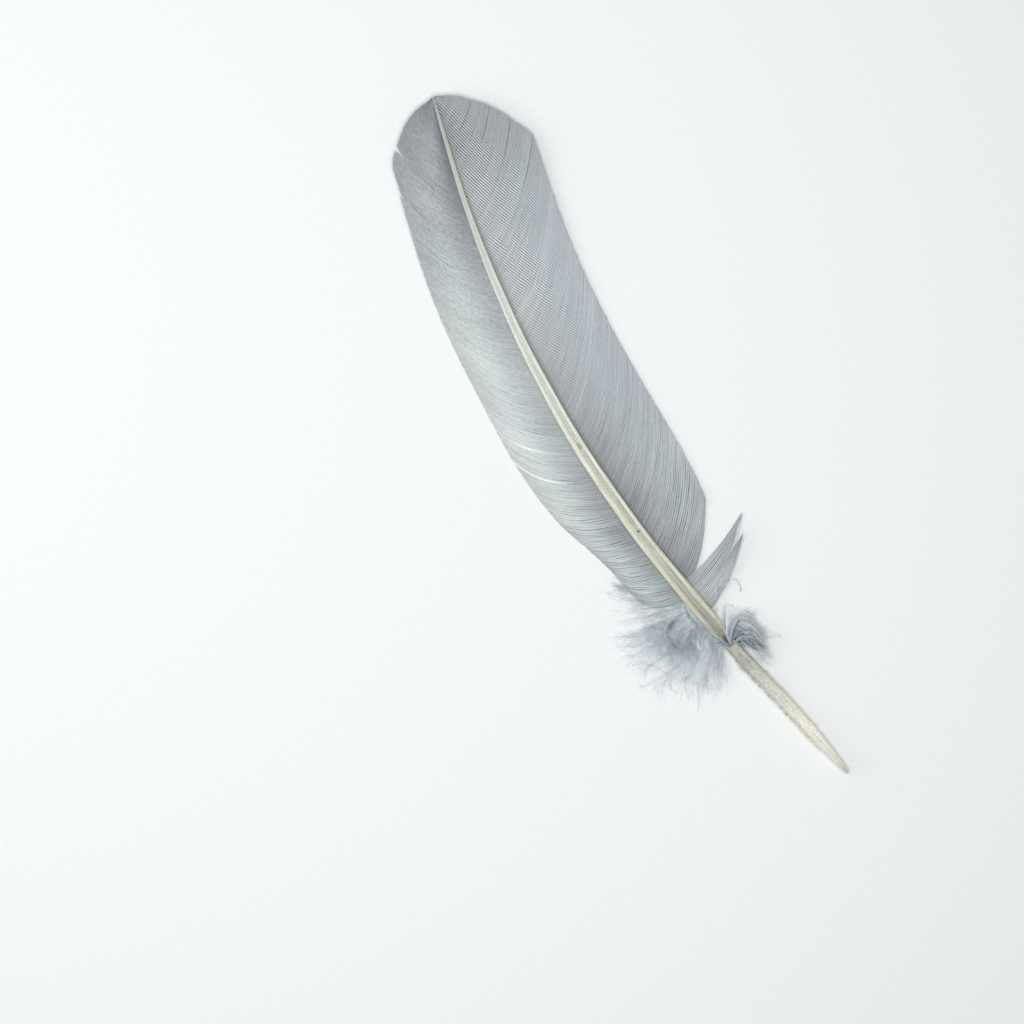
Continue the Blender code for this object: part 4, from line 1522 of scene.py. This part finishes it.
def wide_vane(lay: Lay) -> Vane:
    """The wide vane, with its sharp corner near the tip.

    Args:
        lay: How the feather lies.

    Returns:
        The vane, still to be built.
    """
    return Vane(
        "wide_vane_barbs", "inner_vane", lay, WIDE_FINISH, Side.WIDE, ((0.20, 0.53), (0.37, 0.70)),
        (((89, 113.0, 7.9), (92, 115.6, 8.4), (98, 123.0, 9.4), (106, 137.0, 10.1), (130, 163.0, 10.6),
          (148, 183.0, 11.4), (175, 210.0, 13.9), (200, 235.0, 18.4), (228, *WIDE_CORNER)),
         ((228, *WIDE_CORNER), (243, 269.0, 20.0), (258, 277.0, 15.6), (271.5, 282.2, 11.0),
          (280, 286.0, 7.2), (287.0, 289.3, 1.6), (289.4, 290.0, 0.1))),
        (1.0,), seed=11,
        # each split is drawn with painted shadow along its borders
        splits=(Split(228.0, 0.35, 1.2, 0.30), Split(243.0, 0.15, 1.2, 0.35), Split(271.5, 0.1, 1.2, 0.40),
                Split(250.5, 0.3, 0.9, 0.12, 0.7), Split(257.5, 0.3, 1.2, 0.28),
                Split(264.5, 0.2, 0.95, 0.25), Split(170.0, 0.1, 0.7, 0.15), Split(186.0, 0.2, 0.8, 0.15),
                Split(205.0, 0.1, 0.6, 0.12)),
        frayed=((93.0, 165.0, 2.7, 0.1), (165.0, 285.0, 6.0, 0.10)), ruffled=0.4)


def narrow_vane(lay: Lay) -> Vane:
    """The narrow vane, with two open slits and two nicks in its edge.

    Args:
        lay: How the feather lies.

    Returns:
        The vane, still to be built.
    """
    return Vane(
        "narrow_vane_barbs", "outer_vane", lay, NARROW_FINISH, Side.NARROW, ((0.18, 0.50), (0.45, 0.85)),
        (((84.3, 92.2, -32.4), (90, 99.4, -34.2), (98, 107.5, -35.6), (113, 121.2, -39.3)),
         ((113, 122.4, -39.9), (122, 135.0, -43.3), (131, 150.0, -45.0), (139, 160.7, -45.4)),
         ((139, 161.5, -45.4), (151.5, 175.1, -44.8)),
         ((151.5, 175.8, -44.7), (178, 208.0, -42.1), (200, 231.0, -38.6), (235, 266.0, -29.8)),
         ((235, 267.0, -28.9), (243, 276.8, -26.2), (250, 281.1, -22.6)),
         ((250, 282.1, -21.1), (257, 284.5, -18.1), (265, 287.6, -13.3), (275, 289.5, -7.1),
          (287.0, 289.7, -2.2), (289.4, 290.0, -0.8))),
        (0.8, 0.25, 0.43, 0.95, 0.90), seed=12,
        # the first two are the open slits, drawn pale with painted highlight on their edges; the others get
        # painted shadow
        splits=(Split(139.0, 0.0, 1.1, 0.1, -1.45), Split(151.5, 0.05, 0.99, 0.1, -1.15),
                Split(159.5, 0.15, 0.6, 0.25), Split(171.0, 0.15, 0.55, 0.2), Split(178.0, 0.15, 0.5, 0.2),
                Split(236.5, 0.1, 0.75, 0.12, 0.6), Split(246.0, 0.05, 0.7, 0.14, 0.8),
                Split(252.5, 0.1, 0.8, 0.12, 0.7), Split(259.0, 0.15, 0.9, 0.12, 0.6),
                Split(268.0, 0.2, 1.1, 0.12, 0.8)),
        frayed=((86.0, 140.0, 1.5, 0.16), (140.0, 285.0, 6.0, 0.08)), ruffled=0.95)


def lower_lobe(lay: Lay) -> Vane:
    """The small vane that stands off below the wide one, split into two points.

    Args:
        lay: How the feather lies.

    Returns:
        The vane, still to be built.
    """
    return Vane(
        "lower_lobe_barbs", "lower_lobe", lay, LOBE_FINISH, Side.WIDE, ((0.16, 0.49), (0.33, 0.67)),
        (((77, 95.0, 12.9), (80.5, 94.7, 12.5), (84, 94.3, 11.9)),
         ((84, 100.4, 15.7), (87.5, 101.1, 16.3), (91, 101.7, 16.6))),
        (0.62,), seed=13, lift=3.6, pitch=0.7, ruffled=0.4,
        # each split is drawn with painted shadow along its borders
        splits=(Split(81.0, 0.1, 0.9, 0.2, 0.5), Split(86.5, 0.1, 0.8, 0.2, 0.5),
                Split(88.5, 0.1, 0.8, 0.15, 0.5)))


def down_web(lay: Lay) -> Vane:
    """The webbed lower part of the down, with a dark corner where its fringe begins.

    Args:
        lay: How the feather lies.

    Returns:
        The vane, still to be built.
    """
    return Vane(
        "down_web_barbs", "", lay, WEB_FINISH, Side.NARROW, ((0.37, 0.70), (0.30, 0.63)),
        (((74, 66.5, -25.0), (77, 69.5, -28.0), (80.5, 74.0, -29.8), (84.3, 79.8, -29.6)),),
        (), seed=14, lift=0.6, pitch=0.6, frayed=((66.0, 84.0, 2.5, 0.1),), ruffled=0.6)


TUFT_LOCKS = (
    # the fan, from beside the narrow vane round to the quill; over the web its barbs are bare
    Lock(((83.5, -19.0, 2.0), (82.0, -28.0, 1.6), (85.5, -38.0, 1.2)),
         5, (0.5, 2.6), 16, 2.6, 0.9, 0.5, 0.11, 0.5),
    Lock(((80.5, -18.8, 2.0), (79.5, -30.0, 1.8), (83.0, -48.0, 1.4)),
         7, (0.9, 3.6), 30, 3.6, 1.1, 0.5, 0.11, 0.28),
    Lock(((78.0, -18.4, 2.0), (76.5, -30.0, 2.4), (77.5, -48.0, 1.6)),
         10, (1.2, 4.6), 30, 4.2, 2.0, 0.5, 0.11, 0.24),
    Lock(((75.0, -17.8, 2.2), (73.0, -30.0, 3.0), (71.5, -47.0, 1.8)),
         11, (1.4, 5.0), 40, 4.4, 0.7, 0.4, 0.11, 0.1),
    Lock(((71.5, -17.2, 3.0), (69.0, -28.0, 3.8), (66.0, -43.5, 2.0)),
         10, (1.5, 5.0), 34, 4.2, 1.2, 0.3, 0.11, 0.11),
    Lock(((68.5, -16.6, 4.0), (65.0, -26.0, 3.6), (60.0, -38.0, 1.8)),
         8, (1.3, 4.8), 28, 4.0, 2.0, 0.3, 0.11),
    Lock(((65.5, -16.0, 4.0), (60.5, -23.0, 3.4), (53.0, -32.0, 1.6)),
         6, (1.0, 4.6), 30, 3.8, 1.4, 0.35, 0.11),
    Lock(((63.0, -15.2, 3.8), (57.5, -20.0, 3.0), (49.0, -27.0, 1.2)),
         5, (0.8, 3.6), 30, 3.2, 1.2, 0.4, 0.11),
    # crowded short barbs that lie over the web and beside the shaft
    Lock(((74.0, -21.0, 4.6), (70.5, -25.0, 4.4), (66.0, -29.0, 3.4)),
         9, (1.6, 2.6), 24, 2.6, -0.2, 0.5, 0.11),
    Lock(((67.0, -16.6, 4.4), (62.5, -19.0, 4.0), (57.0, -22.5, 3.0)),
         7, (1.0, 2.2), 22, 2.4, 0.8, 0.5, 0.11),
    Lock(((80.0, -19.8, 3.6), (74.0, -19.4, 4.0), (68.0, -18.2, 3.8), (61.0, -17.0, 3.0)),
         9, (0.7, 1.0), 26, 1.6, 0.7, 0.5, 0.07),
    Lock(((80.6, -26.0, 3.4), (79.4, -28.0, 3.4), (77.4, -30.3, 3.2)),
         7, (0.6, 1.1), 12, 1.2, -1.4, 0.7, 0.14),
    # and along its lower border, which they hide
    Lock(((77.0, -29.9, 3.6), (73.5, -29.6, 4.0), (69.5, -27.6, 4.0), (65.5, -24.2, 3.8)),
         9, (0.8, 1.3), 34, 2.4, 0.1, 0.6, 0.11),
    Lock(((75.5, -25.5, 4.4), (73.0, -30.5, 3.8), (70.5, -36.0, 2.8)),
         6, (1.8, 3.2), 34, 2.6, 0.8, 0.5, 0.11, 0.15),
    Lock(((72.5, -23.0, 4.6), (68.5, -27.5, 4.2), (64.0, -32.0, 3.0)),
         6, (1.8, 3.0), 26, 2.6, 1.8, 0.5, 0.11, 0.1))

HAZE_LOCKS = (
    # the loosest, palest down: all round the fan and out from under the narrow vane
    Lock(((81.0, -24.0, 2.6), (81.0, -36.0, 1.8), (84.0, -47.5, 1.0)),
         8, (1.4, 4.0), 32, 4.6, 1.6, 0.4, 0.03),
    Lock(((83.5, -19.5, 1.8), (84.5, -27.0, 1.2), (87.0, -36.0, 0.8)),
         8, (0.8, 2.2), 30, 3.0, 0.9, 0.4, 0.04),
    Lock(((76.0, -26.0, 2.8), (75.5, -38.0, 2.2), (76.0, -47.5, 1.2)),
         13, (2.4, 5.5), 36, 4.6, 1.0, 0.4, 0.03),
    Lock(((70.0, -25.0, 2.8), (67.5, -37.0, 2.2), (64.5, -47.0, 1.2)),
         11, (2.4, 5.5), 36, 4.8, 1.2, 0.4, 0.03),
    Lock(((66.0, -22.0, 2.8), (60.0, -31.0, 2.0), (54.0, -41.0, 1.0)),
         10, (2.2, 5.5), 34, 5.0, 1.6, 0.4, 0.03),
    Lock(((64.0, -18.0, 2.8), (56.0, -25.0, 1.8), (46.5, -33.0, 0.8)),
         9, (1.6, 5.0), 34, 4.6, 1.5, 0.4, 0.03),
    Lock(((63.0, -16.0, 2.6), (55.5, -19.5, 1.8), (46.0, -24.0, 0.8)),
         7, (1.0, 3.4), 28, 3.8, 2.0, 0.4, 0.03),
    *(Lock(line, count, (1.6, 5.0), 32, 4.6, 0.45, 0.6, 0.03, bare, (0.15, 0.8), 0.14,
           mixed=0.1) for line, count, bare in (
        (((81.0, -18.4, 2.0), (83.0, -31.0, 1.2), (84.5, -43.0, 0.8)), 8, 0.3),
        (((82.0, -18.6, 1.8), (88.0, -31.0, 0.6), (93.0, -43.0, 0.5)), 12, 0.3),
        (((84.0, -18.8, 1.8), (93.0, -31.0, 0.5), (100.5, -43.2, 0.4)), 12, 0.4),
        (((85.0, -19.0, 1.8), (97.5, -33.0, 0.4), (107.0, -43.8, 0.4)), 7, 0.5))),
    # and beyond the curled ball
    Lock(((57.0, -6.0, 4.0), (53.0, -5.4, 2.8), (47.8, -3.8, 1.8)), 6, (0.8, 1.8), 26, 2.6, 1.6, 0.4, 0.04),
    Lock(((56.5, -4.0, 3.6), (53.0, -2.6, 2.4), (49.0, -1.6, 1.5)), 6, (0.6, 1.6), 26, 2.4, 1.4, 0.4, 0.04),
    Lock(((62.0, -1.5, 3.0), (60.0, 0.4, 2.6), (57.0, 1.4, 2.0)), 4, (1.0, 1.6), 14, 1.8, 2.4, 0.5, 0.04),
    Lock(((70.5, -4.5, 4.4), (69.5, -1.0, 3.6), (65.5, 1.0, 2.8)), 6, (0.8, 1.4), 28, 2.0, 1.4, 0.5, 0.04))

FRINGE_LOCKS = (
    # barbs that stand alone beyond the fan
    Lock(((66.0, -33.0, 3.0), (65.9, -41.0, 2.6), (67.0, -51.0, 2.2)),
         2, (0.3, 0.9), 22, 2.4, 0.0, 0.85, 0.07),
    Lock(((65.0, -38.0, 2.8), (70.0, -40.4, 2.8), (71.6, -42.2, 2.6), (70.2, -45.0, 2.4)),
         1, (0.2, 0.4), 10, 1.6, -0.5, 0.9, 0.1),
    Lock(((61.5, -38.6, 2.6), (60.0, -39.6, 2.6), (56.8, -38.2, 2.4)),
         1, (0.2, 0.3), 3, 1.0, -1.0, 0.9, 0.12),
    Lock(((61.0, -32.5, 2.8), (57.5, -35.0, 2.8), (52.0, -36.2, 2.4)),
         2, (0.2, 0.5), 6, 1.6, -0.5, 0.9, 0.09),
    Lock(((57.5, -36.0, 2.4), (55.5, -38.0, 2.2), (54.0, -40.2, 2.0)),
         1, (0.1, 0.1), 4, 1.4, -0.4, 0.9, 0.08),
    Lock(((57.0, -30.0, 2.6), (52.0, -32.3, 2.2), (46.0, -35.6, 1.6)),
         3, (0.3, 0.9), 10, 1.6, 0.3, 0.8, 0.08),
    Lock(((60.0, -25.5, 2.6), (54.0, -28.0, 2.0), (49.5, -29.6, 1.6)),
         4, (0.5, 1.6), 10, 1.8, 0.6, 0.7, 0.06),
    Lock(((72.5, -42.0, 2.4), (74.0, -46.0, 2.2), (75.4, -50.6, 2.0)),
         2, (0.6, 0.9), 8, 1.6, 0.0, 0.8, 0.08),
    Lock(((79.0, -40.0, 2.0), (81.5, -45.0, 1.8), (84.5, -50.5, 1.6)),
         3, (0.9, 1.3), 10, 1.8, 0.3, 0.7, 0.07),
    Lock(((78.5, -29.5, 3.0), (82.0, -33.5, 2.4), (87.0, -38.5, 1.6)),
         4, (0.4, 1.5), 8, 1.6, 0.0, 0.7, 0.08),
    # strands that lie over the quill from both sides where the groove begins
    Lock(((62.6, -13.4, 6.1), (66.0, -14.9, 5.9), (70.5, -16.7, 5.0), (76.0, -18.2, 4.4)),
         14, (0.25, 0.6), 10, 1.0, 0.0, 0.5, 0.2, mixed=1.4),
    Lock(((62.4, -13.2, 6.2), (65.6, -15.2, 5.6), (66.8, -18.0, 4.6)),
         7, (0.3, 1.2), 4, 0.9, -0.8, 0.6, 0.26, mixed=1.4, even=0.6),
    Lock(((62.2, -13.4, 6.1), (63.8, -15.6, 5.4), (63.4, -18.0, 4.4)),
         7, (0.3, 1.4), 4, 0.9, -0.8, 0.6, 0.26, mixed=1.4, even=0.6),
    Lock(((62.4, -12.4, 6.3), (65.6, -12.0, 6.5), (69.0, -11.0, 6.3), (72.6, -9.8, 5.2)),
         12, (0.25, 0.45), 10, 0.9, 0.3, 0.5, 0.2, mixed=1.6),
    # pale strands over the web and along the shaft
    Lock(((66.5, -22.8, 5.0), (69.0, -23.1, 5.3), (71.8, -23.4, 5.0)),
         3, (0.2, 0.3), 3, 0.7, 3.4, 0.9, 0.26),
    Lock(((67.5, -23.2, 5.0), (70.0, -21.7, 5.3), (72.5, -19.8, 5.2)), 4, (0.3, 0.5), 3, 0.7, 3.0, 0.9, 0.2),
    Lock(((73.0, -25.0, 4.8), (74.2, -23.6, 5.0), (76.0, -22.4, 4.8)),
         2, (0.2, 0.5), 4, 0.7, 3.0, 0.8, 0.15),
    Lock(((63.0, -19.3, 4.6), (65.5, -21.0, 4.9), (68.0, -22.4, 4.8)),
         6, (0.5, 1.0), 26, 1.6, 2.4, 0.8, 0.09),
    Lock(((84.0, -19.8, 4.8), (82.4, -21.0, 5.2), (80.8, -20.4, 5.0)),
         3, (0.3, 0.5), 6, 0.8, 2.8, 0.8, 0.15),
    Lock(((81.4, -19.6, 4.8), (79.4, -21.4, 5.2), (77.6, -20.6, 5.0)),
         3, (0.3, 0.6), 6, 0.8, 2.4, 0.8, 0.14),
    Lock(((78.4, -19.3, 4.8), (76.4, -21.5, 5.2), (74.2, -20.8, 5.0)),
         3, (0.3, 0.6), 6, 0.8, 2.8, 0.8, 0.15),
    Lock(((75.0, -18.9, 4.8), (72.6, -20.4, 5.2), (70.4, -19.2, 5.0)),
         3, (0.3, 0.6), 6, 0.8, 2.2, 0.8, 0.14),
    Lock(((71.0, -18.2, 4.8), (69.0, -20.2, 5.2), (66.4, -18.8, 5.0)),
         3, (0.3, 0.6), 6, 0.8, 2.6, 0.8, 0.15),
    Lock(((83.0, -19.4, 4.6), (79.0, -20.2, 5.0), (75.6, -19.8, 4.8)),
         4, (0.4, 0.7), 6, 0.8, -1.6, 0.8, 0.14),
    Lock(((76.0, -19.0, 4.6), (72.0, -20.0, 5.0), (67.6, -19.0, 4.8)),
         4, (0.4, 0.7), 6, 0.8, -1.6, 0.8, 0.14),
    Lock(((68.5, -16.8, 4.6), (65.5, -18.6, 4.8), (61.5, -18.2, 4.2)),
         7, (0.5, 1.0), 8, 0.9, -0.5, 0.7, 0.12),
    # the rolled border between the lower lobe's two points, drawn pale as a painted highlight along the fold
    Lock(((91.0, 6.2, 3.1), (94.6, 9.6, 4.3), (97.6, 12.6, 5.3), (99.2, 14.2, 5.9)),
         3, (0.12, 0.2), 0, 0.8, 3.0, 0.95, 0.3))

CURL_LOCKS = (
    # arcs that nest in each other, all from the quill over to the far side
    Lock(((64.0, -12.0, 5.4), (68.2, -9.8, 6.8), (70.4, -6.0, 7.0), (69.4, -2.2, 6.4), (65.0, -0.4, 5.6),
          (59.6, 0.2, 4.8), (54.4, -0.8, 4.0)),
         7, (0.7, 1.1), 7, 1.0, 1.7, 0.75, 0.3, mixed=1.2, even=0.8),
    Lock(((63.8, -11.8, 5.8), (67.6, -9.0, 7.8), (69.2, -5.2, 8.2), (67.0, -1.9, 7.6), (62.6, -0.6, 6.6),
          (57.4, -0.6, 5.2), (53.8, -1.8, 4.4)),
         8, (0.9, 1.3), 6, 1.0, 1.1, 0.75, 0.3, mixed=1.8, even=0.8),
    Lock(((63.6, -11.6, 6.2), (66.6, -8.4, 8.8), (67.2, -4.9, 9.4), (64.4, -2.6, 8.8), (60.2, -1.6, 7.6),
          (54.6, -2.2, 5.4)),
         8, (0.9, 1.3), 6, 1.0, 0.5, 0.8, 0.3, mixed=2.4, even=0.8),
    Lock(((63.2, -11.0, 6.4), (64.9, -8.0, 9.4), (64.4, -5.0, 10.4), (60.8, -3.2, 9.6), (54.2, -3.0, 6.4)),
         8, (0.9, 1.3), 6, 1.0, -0.9, 0.8, 0.3, mixed=2.3, even=0.8),
    Lock(((62.6, -10.8, 6.4), (63.0, -8.2, 9.6), (61.4, -6.0, 10.6), (58.4, -4.8, 9.4), (54.0, -4.2, 6.2)),
         7, (0.8, 1.2), 6, 1.0, -0.9, 0.8, 0.3, mixed=2.3, even=0.8),
    # darker and paler runs on them; the pale runs and the pale dabs of the last are painted highlights where
    # the arcs face the light
    Lock(((64.6, -10.0, 8.4), (67.4, -7.4, 9.2), (68.0, -4.8, 9.2), (66.6, -3.0, 8.8)),
         5, (0.4, 0.8), 3, 0.8, -1.9, 0.7, 0.3, mixed=0.8),
    Lock(((66.6, -4.0, 9.6), (63.6, -2.2, 9.4), (59.6, -1.2, 8.0)),
         6, (0.5, 0.8), 3, 0.8, 2.8, 0.7, 0.3, mixed=0.9),
    Lock(((63.0, -8.0, 10.2), (60.8, -5.4, 10.7), (57.2, -3.6, 9.2), (54.0, -2.2, 6.4)),
         6, (0.8, 1.2), 3, 0.8, -1.5, 0.8, 0.32, mixed=1.2, even=0.6),
    Lock(((57.4, -3.6, 8.2), (55.6, -2.6, 7.6), (54.0, -1.2, 6.2)),
         5, (0.4, 0.7), 0, 0.8, 1.2, 0.8, 0.34, mixed=2.4, even=0.6),
    # the crowded middle of the ball
    Lock(((61.0, -11.0, 4.6), (63.0, -8.4, 4.8), (62.4, -5.6, 4.6), (58.5, -4.6, 4.2), (56.0, -5.0, 3.8)),
         16, (1.9, 2.2), 18, 1.6, -1.4, 0.5, 0.16),
    Lock(((61.8, -10.6, 3.8), (60.4, -8.6, 4.2), (58.8, -6.8, 4.2), (56.4, -4.6, 3.6)),
         12, (0.9, 1.4), 16, 1.4, -1.4, 0.6, 0.18),
    # the dark strands between it and the quill
    Lock(((62.0, -10.9, 5.8), (60.8, -8.6, 7.6), (57.6, -7.0, 7.4), (54.6, -5.2, 5.4)),
         8, (0.5, 0.8), 8, 1.0, -1.5, 0.6, 0.24, mixed=1.8),
    Lock(((58.0, -4.5, 6.4), (55.6, -3.0, 6.6), (54.2, -1.8, 5.4)),
         5, (0.3, 0.5), 4, 0.7, -1.4, 0.7, 0.28, mixed=1.6),
    # looser barbs round the ball
    Lock(((67.0, -3.5, 3.6), (60.5, -1.2, 3.2), (53.5, -3.0, 2.6)), 6, (0.6, 1.4), 22, 1.8, 1.2, 0.6, 0.06),
    Lock(((57.5, -1.5, 3.0), (56.7, 2.0, 2.5), (55.0, 5.6, 2.0)), 2, (0.3, 0.6), 10, 1.4, 1.4, 0.7, 0.06),
    Lock(((60.5, -0.5, 3.0), (60.9, 1.2, 2.6), (61.2, 2.8, 2.4)), 2, (0.3, 0.5), 8, 1.2, 1.4, 0.7, 0.06),
    Lock(((66.5, -1.5, 3.4), (67.6, 0.8, 2.8), (68.4, 3.0, 2.4)), 3, (0.4, 0.7), 10, 1.4, 1.4, 0.7, 0.06),
    # strands that cross it
    Lock(((58.6, -7.4, 9.6), (61.6, -5.2, 10.7), (65.6, -2.4, 8.8)),
         5, (0.9, 2.2), 3, 0.9, 1.2, 0.7, 0.22, mixed=1.8),
    Lock(((67.0, -7.4, 9.2), (61.6, -4.8, 10.6), (56.0, -3.6, 7.8)),
         5, (1.4, 1.8), 3, 0.9, 0.4, 0.7, 0.22, mixed=2.0),
    Lock(((65.5, -8.4, 9.6), (61.0, -6.8, 10.4), (56.5, -5.2, 7.8)),
         5, (1.2, 1.4), 4, 0.9, 0.4, 0.6, 0.24, mixed=2.0),
    Lock(((61.5, -10.0, 6.0), (62.5, -7.6, 7.8), (60.5, -5.4, 7.8), (57.0, -4.8, 6.4)),
         12, (1.4, 1.6), 10, 1.2, -0.2, 0.5, 0.2, mixed=1.6),
    Lock(((66.5, -11.2, 6.2), (71.0, -8.6, 7.0), (72.6, -5.0, 6.0), (70.5, -1.5, 4.4)),
         6, (0.5, 0.9), 16, 1.4, 2.6, 0.6, 0.12),
    # ribbons and strands towards the lower lobe
    Lock(((66.0, -12.0, 6.4), (70.0, -9.8, 6.8), (74.0, -6.2, 6.0)), 3, (0.2, 0.6), 3, 0.8, 3.4, 0.9, 0.34),
    Lock(((71.0, -10.4, 5.0), (73.5, -8.8, 5.0), (76.2, -7.0, 4.6)), 4, (0.4, 0.7), 8, 1.0, 1.2, 0.8, 0.4),
    Lock(((73.4, -4.4, 4.2), (75.0, -5.4, 4.4), (76.6, -6.2, 4.4)), 2, (0.2, 0.3), 8, 0.9, -0.3, 0.9, 0.14),
    Lock(((75.2, -12.3, 5.9), (75.8, -10.8, 5.4), (76.2, -9.4, 4.4)),
         3, (0.4, 0.6), 8, 0.9, -0.6, 0.9, 0.14),
    Lock(((77.6, -12.2, 5.8), (78.0, -10.8, 5.2), (78.2, -9.2, 4.4)),
         2, (0.3, 0.4), 8, 0.9, -0.6, 0.9, 0.14),
    Lock(((79.0, -8.8, 4.8), (81.5, -6.8, 5.0), (84.4, -4.8, 4.6)),
         3, (0.2, 0.4), 4, 0.9, 1.2, 0.9, 0.24, mixed=1.8),
    Lock(((76.8, 0.9, 2.6), (79.0, 2.0, 2.8), (81.2, 2.0, 3.0), (83.2, -0.6, 3.2)),
         2, (0.2, 0.3), 6, 1.0, -0.8, 0.95, 0.16),
    Lock(((83.2, -0.6, 3.2), (83.6, -3.0, 3.4), (82.0, -5.4, 3.6)),
         4, (0.4, 0.6), 6, 1.0, 1.4, 0.8, 0.18, mixed=1.8),
    Lock(((81.8, -5.0, 3.8), (82.2, -2.4, 3.6), (83.4, 0.2, 3.2)),
         4, (0.4, 0.5), 6, 1.0, 1.0, 0.8, 0.16, mixed=1.8))


def main() -> None:
    """Builds the feather piece by piece, then the studio around it."""
    logging.basicConfig(level=logging.INFO, format="%(message)s")
    lay = Lay(foot_y=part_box("shaft")[0].y, middle_x=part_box("inner_vane")[1].x - WIDE_CORNER[1] * MM)
    Shaft(lay, HornFinish()).build()
    sheath = HornFinish("quill_sheath_keratin", 0.6, ridge_stops=((0.0, "#e0dbce"), (0.2, "#c6c0b1")),
                        glow=0.0)
    SheathFibres(lay, sheath).build()
    for vane in (wide_vane, narrow_vane, lower_lobe, down_web):
        vane(lay).build()
    Down("down_tuft_plumes", ("down_tuft",), lay, DownFinish(), TUFT_LOCKS, 5).build()
    Down("down_haze_plumes", (), lay, DownFinish("dyed_down_haze"), HAZE_LOCKS, 7, hair_width=0.018,
         varied=0.3).build()
    Down("down_fringe_plumes", (), lay, DownFinish("dyed_down_fringe"), FRINGE_LOCKS, 6, wander=0.4).build()
    Down("down_curl_plumes", ("down_curl",), lay, DownFinish("dyed_down_curl"), CURL_LOCKS, 8, wander=0.5,
          varied=1.0).build()
    Studio(CardFinish()).build()


if __name__ == "__main__":
    main()
